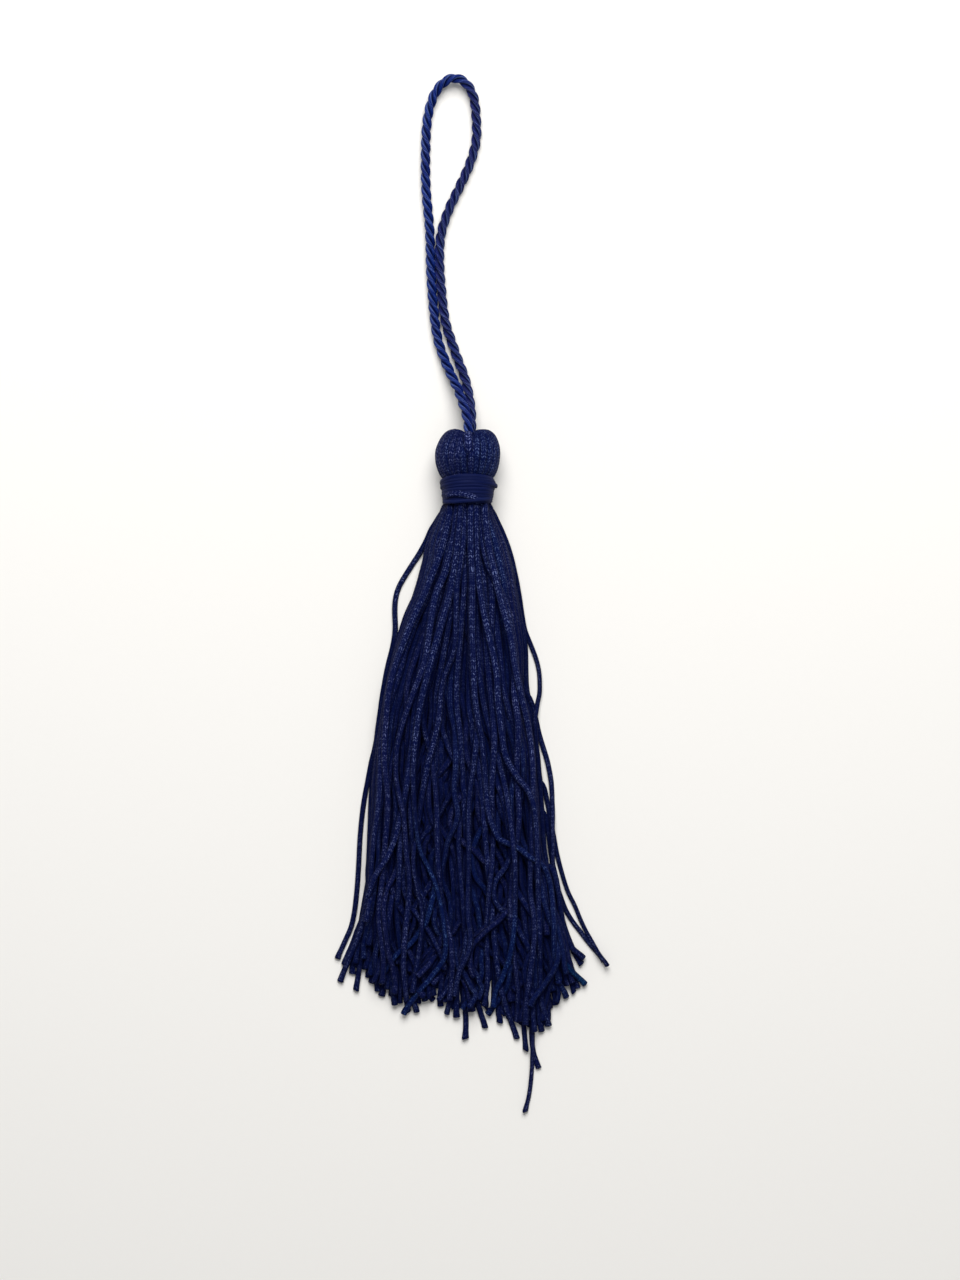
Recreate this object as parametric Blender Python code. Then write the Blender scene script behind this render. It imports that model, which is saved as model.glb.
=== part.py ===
"""Small tassel lying face up: a skein of knitted strands, bound at the neck under a twisted hanging loop."""

import math
import random

import bmesh
import bpy
import numpy as np
from mathutils import Vector

# Sizes are in millimetres. The origin is on the surface, under the middle of the head.
# +X runs across the tassel, +Y up to the loop and +Z out of its face. "Down" is measured along -Y.
MM = 0.001
CLEARANCE = 0.3

HEAD_HEIGHT_OFF_SURFACE = 3.5
PRESSED_FLAT_UNDER = 0.1
RIDGE_COUNT = 28
RIDGE_DEPTH = 0.16
CLEFT_DROP = 0.75
CLEFT_DEPTH = 0.16
CLEFT_SPREAD = math.radians(24.0)
FACE_LIFT = 0.8
DIMPLE_ACROSS = 0.25

# The head from the bottom of its dimple, over the crown and the neck, to the flare where the strands part.
# Columns: down, half width, half height, crown share, ridge share.
HEAD_SECTIONS = (
    (-1.90, 1.25, 1.75, 0.3, 0.0),
    (-2.95, 1.40, 1.85, 0.8, 0.0),
    (-3.45, 2.15, 2.35, 1.0, 0.5),
    (-3.15, 3.15, 2.85, 0.9, 1.0),
    (-2.20, 3.95, 3.35, 0.6, 1.0),
    (-0.60, 4.50, 3.68, 0.2, 1.0),
    (1.10, 4.42, 3.66, 0.0, 1.0),
    (2.30, 3.95, 3.35, 0.0, 1.0),
    (3.00, 3.35, 2.95, 0.0, 0.6),
    (3.20, 2.75, 2.50, 0.0, 0.0),
    (6.95, 2.75, 2.50, 0.0, 0.0),
    (7.25, 3.10, 2.75, 0.0, 0.6),
    (8.40, 3.55, 2.85, 0.0, 1.0),
)
NECK_SECTION = 9

BINDING_TOP = 3.5
BINDING_BOTTOM = 6.9
BINDING_TURNS = 6
BINDING_GROOVE = 0.16
BINDING_SEGMENTS = 40
# Columns: how far the turn stands out on the left and on the right of the neck, from the head down.
BINDING_REACH = (
    (3.78, 3.95),
    (3.82, 4.20),
    (3.70, 4.10),
    (3.62, 3.68),
    (3.60, 3.60),
    (3.72, 3.62),
)

STRAND_COUNT = 60
STRAND_WIDTH = 0.78
ROOT_WIDTH = 0.32
STRAND_GAP = 0.09
ROOT_DOWN = 7.3
FULL_WIDTH_DOWN = 18.3
ROOT_HALF_HEIGHTS = (2.1, 2.7)
GOLDEN_SHARE = 0.618034
SHORTEST_STEP = 0.8
EASIEST_SAG = 0.35
TRIM_UNEVENNESS = 6.0
TIP_LEAN = 1.3
SEED = 4

# Where every strand may bend, measured down from the middle of the head.
BEND_DOWNS = (
    7.3, 8.4, 10.5, 13.5, 16.5, 20.0, 24.3, 29.0, 34.0, 39.5,
    45.0, 50.5, 56.0, 61.5, 66.5, 71.5, 76.0, 81.0, 86.0,
)

# Columns: down, left edge, right edge.
SKIRT_SECTIONS = (
    (7.3, -2.6, 2.6),
    (8.4, -3.9, 3.9),
    (9.4, -4.7, 4.6),
    (12.2, -5.7, 5.8),
    (17.4, -7.5, 7.0),
    (22.5, -9.3, 7.9),
    (27.1, -10.4, 8.7),
    (36.0, -12.3, 9.6),
    (46.5, -13.8, 10.5),
    (57.0, -14.4, 12.0),
    (66.0, -15.6, 14.4),
    (72.0, -16.8, 16.0),
)

# The trimmed hem. Columns: across, down.
HEM_SECTIONS = (
    (-18.1, 69.9),
    (-13.5, 72.5),
    (-10.0, 75.4),
    (-7.5, 76.8),
    (-5.0, 75.5),
    (-1.0, 77.6),
    (3.0, 77.3),
    (8.0, 79.8),
    (10.1, 79.1),
    (12.8, 75.0),
    (15.6, 72.9),
    (19.0, 69.4),
)

# Strands that leave the bundle. A place counts from the left edge, or back from the right edge.
# Columns of each route: down, across.
STRAYS = {
    "left bow": {
        "place": 0,
        "level": 0.50,
        "route": ((7.3, -2.3), (8.4, -3.6), (9.6, -4.6), (13.5, -6.6), (16.5, -8.6), (19.2, -9.95),
                  (20.8, -10.2), (24.3, -9.95), (28.0, -10.8), (33.3, -11.8), (42.4, -13.3),
                  (60.0, -14.6), (72.0, -16.2)),
    },
    "left edge": {
        "place": 1,
        "level": 0.30,
        "route": ((7.3, -2.1), (8.4, -3.3), (9.6, -4.1), (18.0, -7.1), (30.0, -10.6), (42.4, -13.3),
                  (47.9, -14.4), (52.8, -14.9), (58.3, -15.3), (63.2, -15.9), (66.7, -16.8), (69.9, -18.1)),
    },
    "right bow": {
        "place": -1,
        "level": 0.60,
        "route": ((7.3, 2.3), (8.4, 3.6), (9.6, 4.4), (18.0, 6.9), (24.0, 7.9), (27.8, 9.4), (31.9, 10.1),
                  (34.7, 9.7), (44.0, 9.9), (56.0, 10.6), (68.0, 12.0), (77.0, 12.6)),
    },
    "right edge": {
        "place": -2,
        "level": 0.35,
        "route": ((7.3, 2.1), (8.4, 3.2), (9.6, 4.1), (20.0, 7.0), (34.0, 9.0), (40.3, 10.3), (45.8, 11.75),
                  (50.7, 11.85), (61.8, 12.0), (70.0, 12.8), (76.3, 12.5)),
    },
    "right corner": {
        "place": -3,
        "level": 0.20,
        "route": ((7.3, 1.9), (8.4, 2.9), (9.6, 3.7), (30.0, 8.4), (46.0, 10.8), (54.9, 12.4), (60.8, 14.0),
                  (66.0, 16.3), (70.9, 19.5)),
    },
    "long tail": {
        "place": -14,
        "level": 0.15,
        "route": ((7.3, 1.1), (9.6, 2.2), (30.0, 5.0), (50.0, 7.0), (65.0, 8.6), (75.0, 9.6), (81.0, 9.1),
                  (86.1, 8.95), (91.1, 8.0)),
    },
    "short tail": {
        "place": -12,
        "level": 0.05,
        "route": ((7.3, 1.3), (9.6, 2.6), (30.0, 5.6), (50.0, 8.0), (65.0, 10.2), (75.0, 9.6), (80.0, 9.0),
                  (85.1, 9.9)),
    },
}

CORD_DIAMETER = 1.3
CORD_PLIES = 3
CORD_LEAD = 4.9
CORD_GROOVE = 0.14
CORD_STEPS_A_LEAD = 8
CORD_POINTS_A_PLY = 3

# The loop's route from the left leg's end in the dimple, round the bight and back. Columns: x, y, z.
CORD_ROUTE = (
    (0.11, 2.22, 4.18),
    (0.12, 4.10, 4.12),
    (-0.35, 6.20, 3.55),
    (-0.92, 7.65, 2.95),
    (-1.46, 9.05, 2.35),
    (-2.02, 10.40, 1.80),
    (-3.12, 13.20, 1.00),
    (-4.05, 16.00, 0.67),
    (-4.62, 20.00, 0.67),
    (-5.05, 25.50, 0.67),
    (-5.25, 31.30, 0.67),
    (-5.75, 37.00, 0.67),
    (-5.80, 42.40, 0.67),
    (-5.55, 46.60, 0.75),
    (-4.88, 49.30, 0.95),
    (-4.10, 50.75, 1.15),
    (-3.05, 51.80, 1.35),
    (-1.76, 52.22, 1.40),
    (-0.48, 51.75, 1.30),
    (0.45, 50.60, 1.10),
    (0.98, 49.00, 0.90),
    (1.24, 46.20, 0.72),
    (1.20, 43.60, 0.67),
    (0.40, 40.60, 0.67),
    (-1.00, 37.40, 0.67),
    (-2.55, 34.00, 0.67),
    (-3.60, 30.60, 0.67),
    (-3.72, 27.00, 0.67),
    (-3.55, 22.50, 0.67),
    (-3.00, 18.40, 0.67),
    (-2.10, 15.30, 0.68),
    (-1.38, 13.20, 0.80),
    (-0.60, 10.90, 1.20),
    (-0.05, 9.05, 1.70),
    (0.28, 7.65, 2.15),
    (0.50, 6.20, 2.55),
    (0.56, 4.10, 2.76),
    (0.38, 2.22, 2.82),
)


def clear_scene():
    for old in list(bpy.data.objects):
        bpy.data.objects.remove(old, do_unlink=True)


def new_collection(name, hidden):
    collection = bpy.data.collections.new(name)
    collection.hide_render = hidden
    bpy.context.scene.collection.children.link(collection)
    return collection


def yarn_material(name, colour, roughness):
    material = bpy.data.materials.new(name)
    material.use_nodes = True
    shader = material.node_tree.nodes["Principled BSDF"]
    shader.inputs["Base Color"].default_value = (*colour, 1.0)
    shader.inputs["Roughness"].default_value = roughness
    shader.inputs["Metallic"].default_value = 0.0
    return material


def smooth_step(value, start, end):
    share = min(max((value - start) / (end - start), 0.0), 1.0)
    return share * share * (3.0 - 2.0 * share)


def read_section(sections, along, column):
    """A column's value at a place along the first column, on straight lines between the rows."""
    return float(np.interp(along, [row[0] for row in sections], [row[column] for row in sections]))


def face_lift(down, azimuth):
    """The neck and its binding sit higher on the face than on the back, most at the head."""
    over_neck = smooth_step(-down, -BINDING_BOTTOM, -BINDING_TOP)
    under_crown = smooth_step(down, -1.0, 2.0)
    return FACE_LIFT * over_neck * under_crown * max(0.0, math.sin(azimuth))


def cleft_share(azimuth):
    """1 in the two clefts between the lobes, on the face and on the back, and 0 away from them."""
    turn = abs(abs(azimuth) - math.pi / 2.0)
    return math.exp(-((turn / CLEFT_SPREAD) ** 2))


def head_point(ring, segment, azimuth):
    """A point of the head's skin, on one of its sections and one of its ridges or grooves."""
    down, half_width, half_height, crown, ridge = HEAD_SECTIONS[ring]
    cleft = cleft_share(azimuth)
    groove = RIDGE_DEPTH * ridge * (segment % 2)
    shrink = 1.0 - CLEFT_DEPTH * cleft * crown
    across = (half_width * shrink - groove) * math.cos(azimuth) + DIMPLE_ACROSS * crown
    height = HEAD_HEIGHT_OFF_SURFACE + (half_height * shrink - groove) * math.sin(azimuth)
    along = -down - CLEFT_DROP * cleft * crown + face_lift(down, azimuth)
    if height < PRESSED_FLAT_UNDER:
        height = 0.0
    return Vector((across, along, height)) * MM


def head_mesh():
    """A sphere with its rings moved to the head's sections, and its poles to the dimple and the flare.

    Half a step of turn puts the middle of a facet, and not an edge, on the surface under the head.
    """
    rings = len(HEAD_SECTIONS)
    segments = 2 * RIDGE_COUNT
    half_step = math.pi / segments
    shape = bmesh.new()
    bmesh.ops.create_uvsphere(shape, u_segments=segments, v_segments=rings + 1, radius=1.0)
    for vertex in shape.verts:
        ring = round(math.acos(max(-1.0, min(1.0, vertex.co.z))) / math.pi * (rings + 1)) - 1
        azimuth = math.atan2(-vertex.co.y, vertex.co.x)
        if ring < 0:
            vertex.co = Vector((DIMPLE_ACROSS, -HEAD_SECTIONS[0][0], HEAD_HEIGHT_OFF_SURFACE)) * MM
        elif ring == rings:
            vertex.co = Vector((0.0, -HEAD_SECTIONS[-1][0], HEAD_HEIGHT_OFF_SURFACE)) * MM
        else:
            segment = round(azimuth / math.tau * segments)
            vertex.co = head_point(ring, segment, azimuth + half_step)
    mesh = bpy.data.meshes.new("skein")
    shape.to_mesh(mesh)
    shape.free()
    return mesh


def strand_width(down):
    """Strands are pressed thin in the neck and reach their full width a little way down the skirt."""
    share = min(max((down - ROOT_DOWN) / (FULL_WIDTH_DOWN - ROOT_DOWN), 0.0), 1.0)
    return ROOT_WIDTH + (STRAND_WIDTH - ROOT_WIDTH) * (1.0 - (1.0 - share) ** 2)


def neck_place(share):
    """Where a strand with this share of the others on its left stands across a round neck, from -1 to 1."""
    places = np.linspace(-1.0, 1.0, 201)
    shares = 0.5 + (places * np.sqrt(1.0 - places ** 2) + np.arcsin(places)) / math.pi
    return float(np.interp(share, shares, places))


def strand_downs(tip):
    return [down for down in BEND_DOWNS if down < tip - SHORTEST_STEP] + [tip]


def bundle_strand(place, level, draws):
    """A strand of the bundle. Its neighbours share slow waves, and the upper ones wander over the others."""
    share = (place + 0.5) / STRAND_COUNT
    neck = neck_place(share)
    hem = 2.0 * share - 1.0
    short_wave = draws.uniform(16.0, 24.0)
    long_wave = draws.uniform(30.0, 44.0)
    short_phase = draws.uniform(0.0, math.tau)
    long_phase = draws.uniform(0.0, math.tau)
    trim = TRIM_UNEVENNESS * draws.random() ** 1.5
    lean = draws.uniform(-TIP_LEAN, TIP_LEAN)
    wander = 0.15 + 0.9 * max(0.0, level - 0.45) / 0.55

    def across(down):
        left = read_section(SKIRT_SECTIONS, down, 1) + STRAND_WIDTH / 2.0
        right = read_section(SKIRT_SECTIONS, down, 2) - STRAND_WIDTH / 2.0
        spread = smooth_step(down, 8.0, 34.0)
        lane = neck * (1.0 - spread) + hem * spread
        shared = 0.55 * math.sin(math.tau * down / 33.0 + 2.0 * lane)
        shared += 0.35 * math.sin(math.tau * down / 19.0 - 3.1 * lane + 1.0)
        own = 0.6 * math.sin(math.tau * down / short_wave + short_phase)
        own += 0.8 * math.sin(math.tau * down / long_wave + long_phase)
        growth = smooth_step(down, 12.0, 47.0) * (1.0 - lane ** 4)
        middle = (left + right) / 2.0 + lane * (right - left) / 2.0
        return min(max(middle + growth * (shared + wander * own), left), right)

    tip = read_section(HEM_SECTIONS, across(74.0), 1) - trim
    downs = strand_downs(tip)
    places = [across(down) + lean * smooth_step(down, tip - 14.0, tip) for down in downs]
    return {"level": level, "neck": neck, "downs": downs, "across": places}


def stray_strand(stray):
    route = stray["route"]
    downs = strand_downs(route[-1][0])
    return {
        "level": stray["level"],
        "neck": neck_place((stray["place"] % STRAND_COUNT + 0.5) / STRAND_COUNT),
        "downs": downs,
        "across": [read_section(route, down, 1) for down in downs],
    }


def skirt_strands():
    """All strands from left to right. Golden shares spread neighbours over the neck's height."""
    draws = random.Random(SEED)
    strays = {stray["place"] % STRAND_COUNT: stray for stray in STRAYS.values()}
    strands = []
    for place in range(STRAND_COUNT):
        strand = bundle_strand(place, (place * GOLDEN_SHARE + 0.3) % 1.0, draws)
        if place in strays:
            strand = stray_strand(strays[place])
        strands.append(strand)
    return strands


def at_down(strand, key, down):
    return float(np.interp(down, strand["downs"], strand[key]))


def rest_on(strand, step, below):
    """The least heights at both ends of one step of a strand that clear a strand below it."""
    start = strand["downs"][step]
    end = min(strand["downs"][step + 1], below["downs"][-1])
    if below["downs"][-1] <= start:
        return 0.0, 0.0
    length = end - start
    offset_start = strand["across"][step] - at_down(below, "across", start)
    offset_end = at_down(strand, "across", end) - at_down(below, "across", end)
    slope = (at_down(strand, "across", end) - strand["across"][step]) / length
    slope_below = (at_down(below, "across", end) - at_down(below, "across", start)) / length
    half = max(strand_width(start), strand_width(end)) / 2.0
    reach = half * (math.hypot(1.0, slope) + math.hypot(1.0, slope_below)) + STRAND_GAP
    if min(abs(offset_start), abs(offset_end)) >= reach and offset_start * offset_end > 0.0:
        return 0.0, 0.0
    over_start = at_down(below, "heights", start) + strand_width(start) + STRAND_GAP
    over_end = at_down(below, "heights", end) + strand_width(end) + STRAND_GAP
    return over_start, over_end


def lay_strands(strands):
    """Gives each strand its heights, from the lowest level up: on the surface, or over those below it."""
    laid = []
    for strand in sorted(strands, key=lambda item: item["level"]):
        downs = strand["downs"]
        heights = [strand_width(down) / 2.0 for down in downs]
        rise = (2.0 * strand["level"] - 1.0) * math.sqrt(1.0 - strand["neck"] ** 2)
        for step, half_height in enumerate(ROOT_HALF_HEIGHTS):
            heights[step] = HEAD_HEIGHT_OFF_SURFACE + rise * half_height
        for below in laid:
            for step in range(1, len(downs) - 1):
                over_start, over_end = rest_on(strand, step, below)
                heights[step] = max(heights[step], over_start)
                heights[step + 1] = max(heights[step + 1], over_end)
        for step in [*range(1, len(downs) - 1)] * 3:
            share = (downs[step] - downs[step - 1]) / (downs[step + 1] - downs[step - 1])
            straight = heights[step - 1] * (1.0 - share) + heights[step + 1] * share
            heights[step] = max(heights[step], straight - EASIEST_SAG)
        strand["heights"] = heights
        laid.append(strand)
    return laid


def strands_object(strands, collection):
    """Square strands with a face level with the surface, as one curve made into a mesh."""
    curve = bpy.data.curves.new("strands", "CURVE")
    curve.dimensions = "3D"
    curve.twist_mode = "Z_UP"
    curve.bevel_depth = STRAND_WIDTH / math.sqrt(2.0) * MM
    curve.bevel_resolution = 0
    curve.use_fill_caps = True
    for strand in strands:
        spline = curve.splines.new("POLY")
        spline.points.add(len(strand["downs"]) - 1)
        rows = zip(spline.points, strand["downs"], strand["across"], strand["heights"])
        for point, down, across, height in rows:
            point.co = (across * MM, -down * MM, height * MM, 1.0)
            point.radius = strand_width(down) / STRAND_WIDTH
            point.tilt = math.radians(45.0)
    guide = bpy.data.objects.new("strand_curve", curve)
    collection.objects.link(guide)
    bpy.context.view_layer.update()
    evaluated = guide.evaluated_get(bpy.context.evaluated_depsgraph_get())
    mesh = bpy.data.meshes.new_from_object(evaluated)
    shape = bmesh.new()
    shape.from_mesh(mesh)
    bmesh.ops.remove_doubles(shape, verts=shape.verts, dist=0.00001)
    shape.to_mesh(mesh)
    shape.free()
    strands_part = bpy.data.objects.new("strands", mesh)
    strands_part.matrix_world = guide.matrix_world
    strands_part.hide_render = True
    strands_part.display_type = "WIRE"
    collection.objects.link(strands_part)
    bpy.data.objects.remove(guide, do_unlink=True)
    return strands_part


def build_skein(collection, cutters):
    skein = bpy.data.objects.new("skein", head_mesh())
    collection.objects.link(skein)
    skein.data.materials.append(yarn_material("knitted_strands", (0.006, 0.009, 0.048), 0.6))
    joined = skein.modifiers.new("roots", "BOOLEAN")
    joined.operation = "UNION"
    joined.solver = "EXACT"
    joined.use_self = True
    joined.object = strands_object(lay_strands(skirt_strands()), cutters)
    return skein


def binding_profile(azimuth):
    """The winding's section as (down, reach): a rib for each turn outside, and two corners inside."""
    pitch = (BINDING_BOTTOM - BINDING_TOP) / BINDING_TURNS
    side = 0.5 + 0.5 * math.cos(azimuth)
    points = []
    for turn in reversed(range(BINDING_TURNS)):
        left, right = BINDING_REACH[turn]
        reach = left * (1.0 - side) + right * side
        middle = BINDING_TOP + (turn + 0.5) * pitch
        points.append((middle + pitch / 2.0, reach - BINDING_GROOVE))
        points.append((middle, reach))
    points.append((BINDING_TOP, points[-1][1] - BINDING_GROOVE))
    neck = HEAD_SECTIONS[NECK_SECTION][1] + CLEARANCE
    points.append((BINDING_TOP, neck))
    points.append((BINDING_BOTTOM, neck))
    return points


def build_binding(collection):
    """A torus whose small rings are moved to the winding's section."""
    rows = len(binding_profile(0.0))
    bpy.ops.mesh.primitive_torus_add(
        major_segments=BINDING_SEGMENTS, minor_segments=rows, major_radius=1.0, minor_radius=0.5
    )
    binding = bpy.context.object
    binding.name = "neck_binding"
    for user in list(binding.users_collection):
        user.objects.unlink(binding)
    collection.objects.link(binding)
    flatness = HEAD_SECTIONS[NECK_SECTION][2] / HEAD_SECTIONS[NECK_SECTION][1]
    for index, vertex in enumerate(binding.data.vertices):
        azimuth = -math.tau * (index // rows) / BINDING_SEGMENTS
        azimuth = math.atan2(math.sin(azimuth), math.cos(azimuth))
        down, reach = binding_profile(azimuth)[index % rows]
        height = HEAD_HEIGHT_OFF_SURFACE + (reach * flatness + 0.1) * math.sin(azimuth)
        along = -down + face_lift(down, azimuth)
        vertex.co = Vector((reach * math.cos(azimuth), along, max(height, 0.0))) * MM
    binding.data.materials.append(yarn_material("binding_yarn", (0.006, 0.008, 0.04), 0.55))
    return binding


def smooth_route(points, spacing):
    """Points a set distance apart on a smooth curve through the route's own points."""
    route = [Vector(point) for point in points]
    tangents = []
    for index in range(len(route)):
        before = route[max(index - 1, 0)]
        after = route[min(index + 1, len(route) - 1)]
        tangents.append((after - before).normalized())
    fine = []
    for index in range(len(route) - 1):
        start, end = route[index], route[index + 1]
        span = (end - start).length
        for step in range(24):
            share = step / 24.0
            square, cube = share ** 2, share ** 3
            fine.append(
                start * (2.0 * cube - 3.0 * square + 1.0)
                + tangents[index] * span * (cube - 2.0 * square + share)
                + end * (3.0 * square - 2.0 * cube)
                + tangents[index + 1] * span * (cube - square)
            )
    fine.append(route[-1])
    lengths = np.cumsum([0.0] + [(b - a).length for a, b in zip(fine, fine[1:])])
    count = round(lengths[-1] / spacing)
    wanted = np.linspace(0.0, lengths[-1], count + 1)
    columns = [np.interp(wanted, lengths, [point[axis] for point in fine]) for axis in range(3)]
    return [Vector(point) for point in zip(*columns)], float(lengths[-1])


def ply_outline(cutters):
    """The cord's section: one bulge for each ply, with a groove between each two."""
    outline = bpy.data.curves.new("ply_outline", "CURVE")
    outline.dimensions = "2D"
    spline = outline.splines.new("POLY")
    count = CORD_PLIES * CORD_POINTS_A_PLY
    spline.points.add(count - 1)
    for index, point in enumerate(spline.points):
        angle = -math.tau * index / count
        groove = CORD_GROOVE * (0.0 if index % CORD_POINTS_A_PLY == 0 else 1.0)
        radius = (CORD_DIAMETER / 2.0 - groove) * MM
        point.co = (radius * math.cos(angle), radius * math.sin(angle), 0.0, 1.0)
    spline.use_cyclic_u = True
    section = bpy.data.objects.new("ply_outline", outline)
    section.hide_render = True
    section.display_type = "WIRE"
    cutters.objects.link(section)
    return section


def build_loop(collection, cutters):
    """A three-ply cord. Its plies turn like the middle stroke of an S, so they slant down to the right."""
    points, length = smooth_route(CORD_ROUTE, CORD_LEAD / CORD_STEPS_A_LEAD)
    curve = bpy.data.curves.new("hanging_loop", "CURVE")
    curve.dimensions = "3D"
    curve.twist_mode = "MINIMUM"
    curve.bevel_mode = "OBJECT"
    curve.bevel_object = ply_outline(cutters)
    curve.use_fill_caps = True
    spline = curve.splines.new("POLY")
    spline.points.add(len(points) - 1)
    for index, (point, place) in enumerate(zip(spline.points, points)):
        point.co = (*(place * MM), 1.0)
        point.tilt = -math.tau * index / CORD_STEPS_A_LEAD
    loop = bpy.data.objects.new("hanging_loop", curve)
    loop.data.materials.append(yarn_material("twisted_cord", (0.012, 0.018, 0.13), 0.45))
    collection.objects.link(loop)
    print(f"loop cord {length:.1f} mm long")
    return loop


def main():
    clear_scene()
    tassel = new_collection("tassel", False)
    cutters = new_collection("cutters", True)
    build_skein(tassel, cutters)
    build_binding(tassel)
    build_loop(tassel, cutters)


main()
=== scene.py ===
import math
import random

import bmesh
import bpy
import numpy as np
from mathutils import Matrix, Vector


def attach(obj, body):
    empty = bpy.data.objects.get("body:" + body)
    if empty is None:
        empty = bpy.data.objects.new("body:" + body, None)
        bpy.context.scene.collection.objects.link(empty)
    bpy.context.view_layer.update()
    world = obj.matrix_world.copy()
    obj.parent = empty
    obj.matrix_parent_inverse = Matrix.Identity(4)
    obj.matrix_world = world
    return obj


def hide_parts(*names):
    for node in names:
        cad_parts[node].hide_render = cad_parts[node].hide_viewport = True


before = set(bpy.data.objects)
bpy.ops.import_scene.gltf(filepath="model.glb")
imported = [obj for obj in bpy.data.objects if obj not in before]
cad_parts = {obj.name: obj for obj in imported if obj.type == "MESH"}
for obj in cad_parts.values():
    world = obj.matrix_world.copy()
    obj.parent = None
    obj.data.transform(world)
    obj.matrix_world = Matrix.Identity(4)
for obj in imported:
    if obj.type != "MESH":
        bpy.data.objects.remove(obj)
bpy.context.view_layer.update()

# sizes are in millimetres unless a note says otherwise, and "down" runs from the head to the hem, along -Y
mm = 0.001
collection = bpy.context.scene.collection


def smoothStep(value, start, end):
    share = np.clip((np.asarray(value, dtype=float) - start) / (end - start), 0.0, 1.0)
    return share * share * (3.0 - 2.0 * share)


def readColumn(rows, along, column):
    return np.interp(along, [row[0] for row in rows], [row[column] for row in rows])


def unitRows(vectors):
    return vectors / np.maximum(np.linalg.norm(vectors, axis=1, keepdims=True), 1e-9)


def smoothPath(points, spacing, stepsASpan=12):
    # a smooth curve through the points, cut into even steps
    route = np.array(points, dtype=float)
    ends = np.vstack([route[:1], route, route[-1:]])
    tangents = unitRows(ends[2:] - ends[:-2])
    fine = []
    for index, span in enumerate(np.linalg.norm(np.diff(route, axis=0), axis=1)):
        for step in range(stepsASpan):
            share = step / stepsASpan
            square, cube = share ** 2, share ** 3
            fine.append(
                route[index] * (2.0 * cube - 3.0 * square + 1.0)
                + tangents[index] * span * (cube - 2.0 * square + share)
                + route[index + 1] * (3.0 * square - 2.0 * cube)
                + tangents[index + 1] * span * (cube - square)
            )
    fine = np.array(fine + [route[-1]])
    lengths = np.concatenate([[0.0], np.cumsum(np.linalg.norm(np.diff(fine, axis=0), axis=1))])
    count = max(2, int(round(lengths[-1] / spacing)))
    wanted = np.linspace(0.0, lengths[-1], count + 1)
    return np.stack([np.interp(wanted, lengths, fine[:, axis]) for axis in range(3)], axis=1), lengths[-1]


def feed(tree, source, target):
    # a socket is linked, and anything else is the input's own value
    if isinstance(source, bpy.types.NodeSocket):
        tree.links.new(source, target)
    else:
        target.default_value = source


def addNode(tree, kind, inputs=None, **values):
    node = tree.nodes.new(kind)
    for name, value in values.items():
        setattr(node, name, value)
    for key, source in (inputs or {}).items():
        feed(tree, source, node.inputs[key])
    return node


def mathNode(tree, operation, *inputs, clamp=False):
    node = addNode(tree, "ShaderNodeMath", dict(enumerate(inputs)), operation=operation, use_clamp=clamp)
    return node.outputs[0]


def timesNode(tree, product, *others):
    for other in others:
        product = mathNode(tree, "MULTIPLY", product, other)
    return product


def distanceNode(tree, value, middle):
    return mathNode(tree, "ABSOLUTE", mathNode(tree, "SUBTRACT", value, middle))


def rangeNode(tree, value, fromMin, fromMax, toMin=0.0, toMax=1.0, ease="LINEAR"):
    ends = {"Value": value, "From Min": fromMin, "From Max": fromMax, "To Min": toMin, "To Max": toMax}
    return addNode(tree, "ShaderNodeMapRange", ends, interpolation_type=ease).outputs["Result"]


def splitVector(tree, vector):
    return addNode(tree, "ShaderNodeSeparateXYZ", {0: vector}).outputs


def joinVector(tree, x, y, z=0.0):
    return addNode(tree, "ShaderNodeCombineXYZ", {"X": x, "Y": y, "Z": z}).outputs[0]


def noiseNode(tree, vector, scale, detail, dimensions="3D"):
    inputs = {"Vector": vector, "Scale": scale, "Detail": detail}
    return addNode(tree, "ShaderNodeTexNoise", inputs, noise_dimensions=dimensions).outputs["Fac"]


def mixColours(tree, first, second, factor):
    first, second = ((*value, 1.0) if isinstance(value, tuple) else value for value in (first, second))
    inputs = {"Factor": factor, "A": first, "B": second}
    return addNode(tree, "ShaderNodeMix", inputs, data_type="RGBA").outputs["Result"]


viewSettings = {
    "middle": (1.74, -25.7),
    "height": 900.0,
    "longSide": 177.8,
    "sensor": 36.0,
    "clip": (10.0, 10000.0),
}


def addCamera(settings):
    data = bpy.data.cameras.new("overheadCamera")
    data.sensor_width = settings["sensor"]
    data.lens = settings["sensor"] * settings["height"] / settings["longSide"]
    data.clip_start, data.clip_end = (distance * mm for distance in settings["clip"])
    camera = bpy.data.objects.new("overheadCamera", data)
    camera.location = (settings["middle"][0] * mm, settings["middle"][1] * mm, settings["height"] * mm)
    collection.objects.link(camera)
    bpy.context.scene.camera = camera


lightSettings = {
    "window": {"place": (10.0, 330.0, 420.0), "aim": (0.0, 60.0, 0.0), "size": 460.0, "power": 3.9,
               "colour": (1.0, 0.995, 0.985)},
    "fill": {"place": (120.0, -260.0, 800.0), "aim": (0.0, -20.0, 0.0), "size": 700.0, "power": 0.5,
             "colour": (0.97, 0.98, 1.0)},
    "room": (0.96, 0.98, 1.0),
    "roomStrength": 0.24,
}


def addLights(settings):
    for name in ("window", "fill"):
        row = settings[name]
        data = bpy.data.lights.new(name, "AREA")
        data.shape = "DISK"
        data.size = row["size"] * mm
        data.energy = row["power"]
        data.color = row["colour"]
        lamp = bpy.data.objects.new(name, data)
        lamp.location = Vector(row["place"]) * mm
        direction = (Vector(row["aim"]) - Vector(row["place"])).normalized()
        lamp.rotation_euler = direction.to_track_quat("-Z", "Y").to_euler()
        collection.objects.link(lamp)
    world = bpy.data.worlds.new("room")
    world.use_nodes = True
    background = world.node_tree.nodes["Background"]
    background.inputs["Color"].default_value = (*settings["room"], 1.0)
    background.inputs["Strength"].default_value = settings["roomStrength"]
    bpy.context.scene.world = world
    bpy.context.scene.view_settings.view_transform = "Standard"


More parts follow.
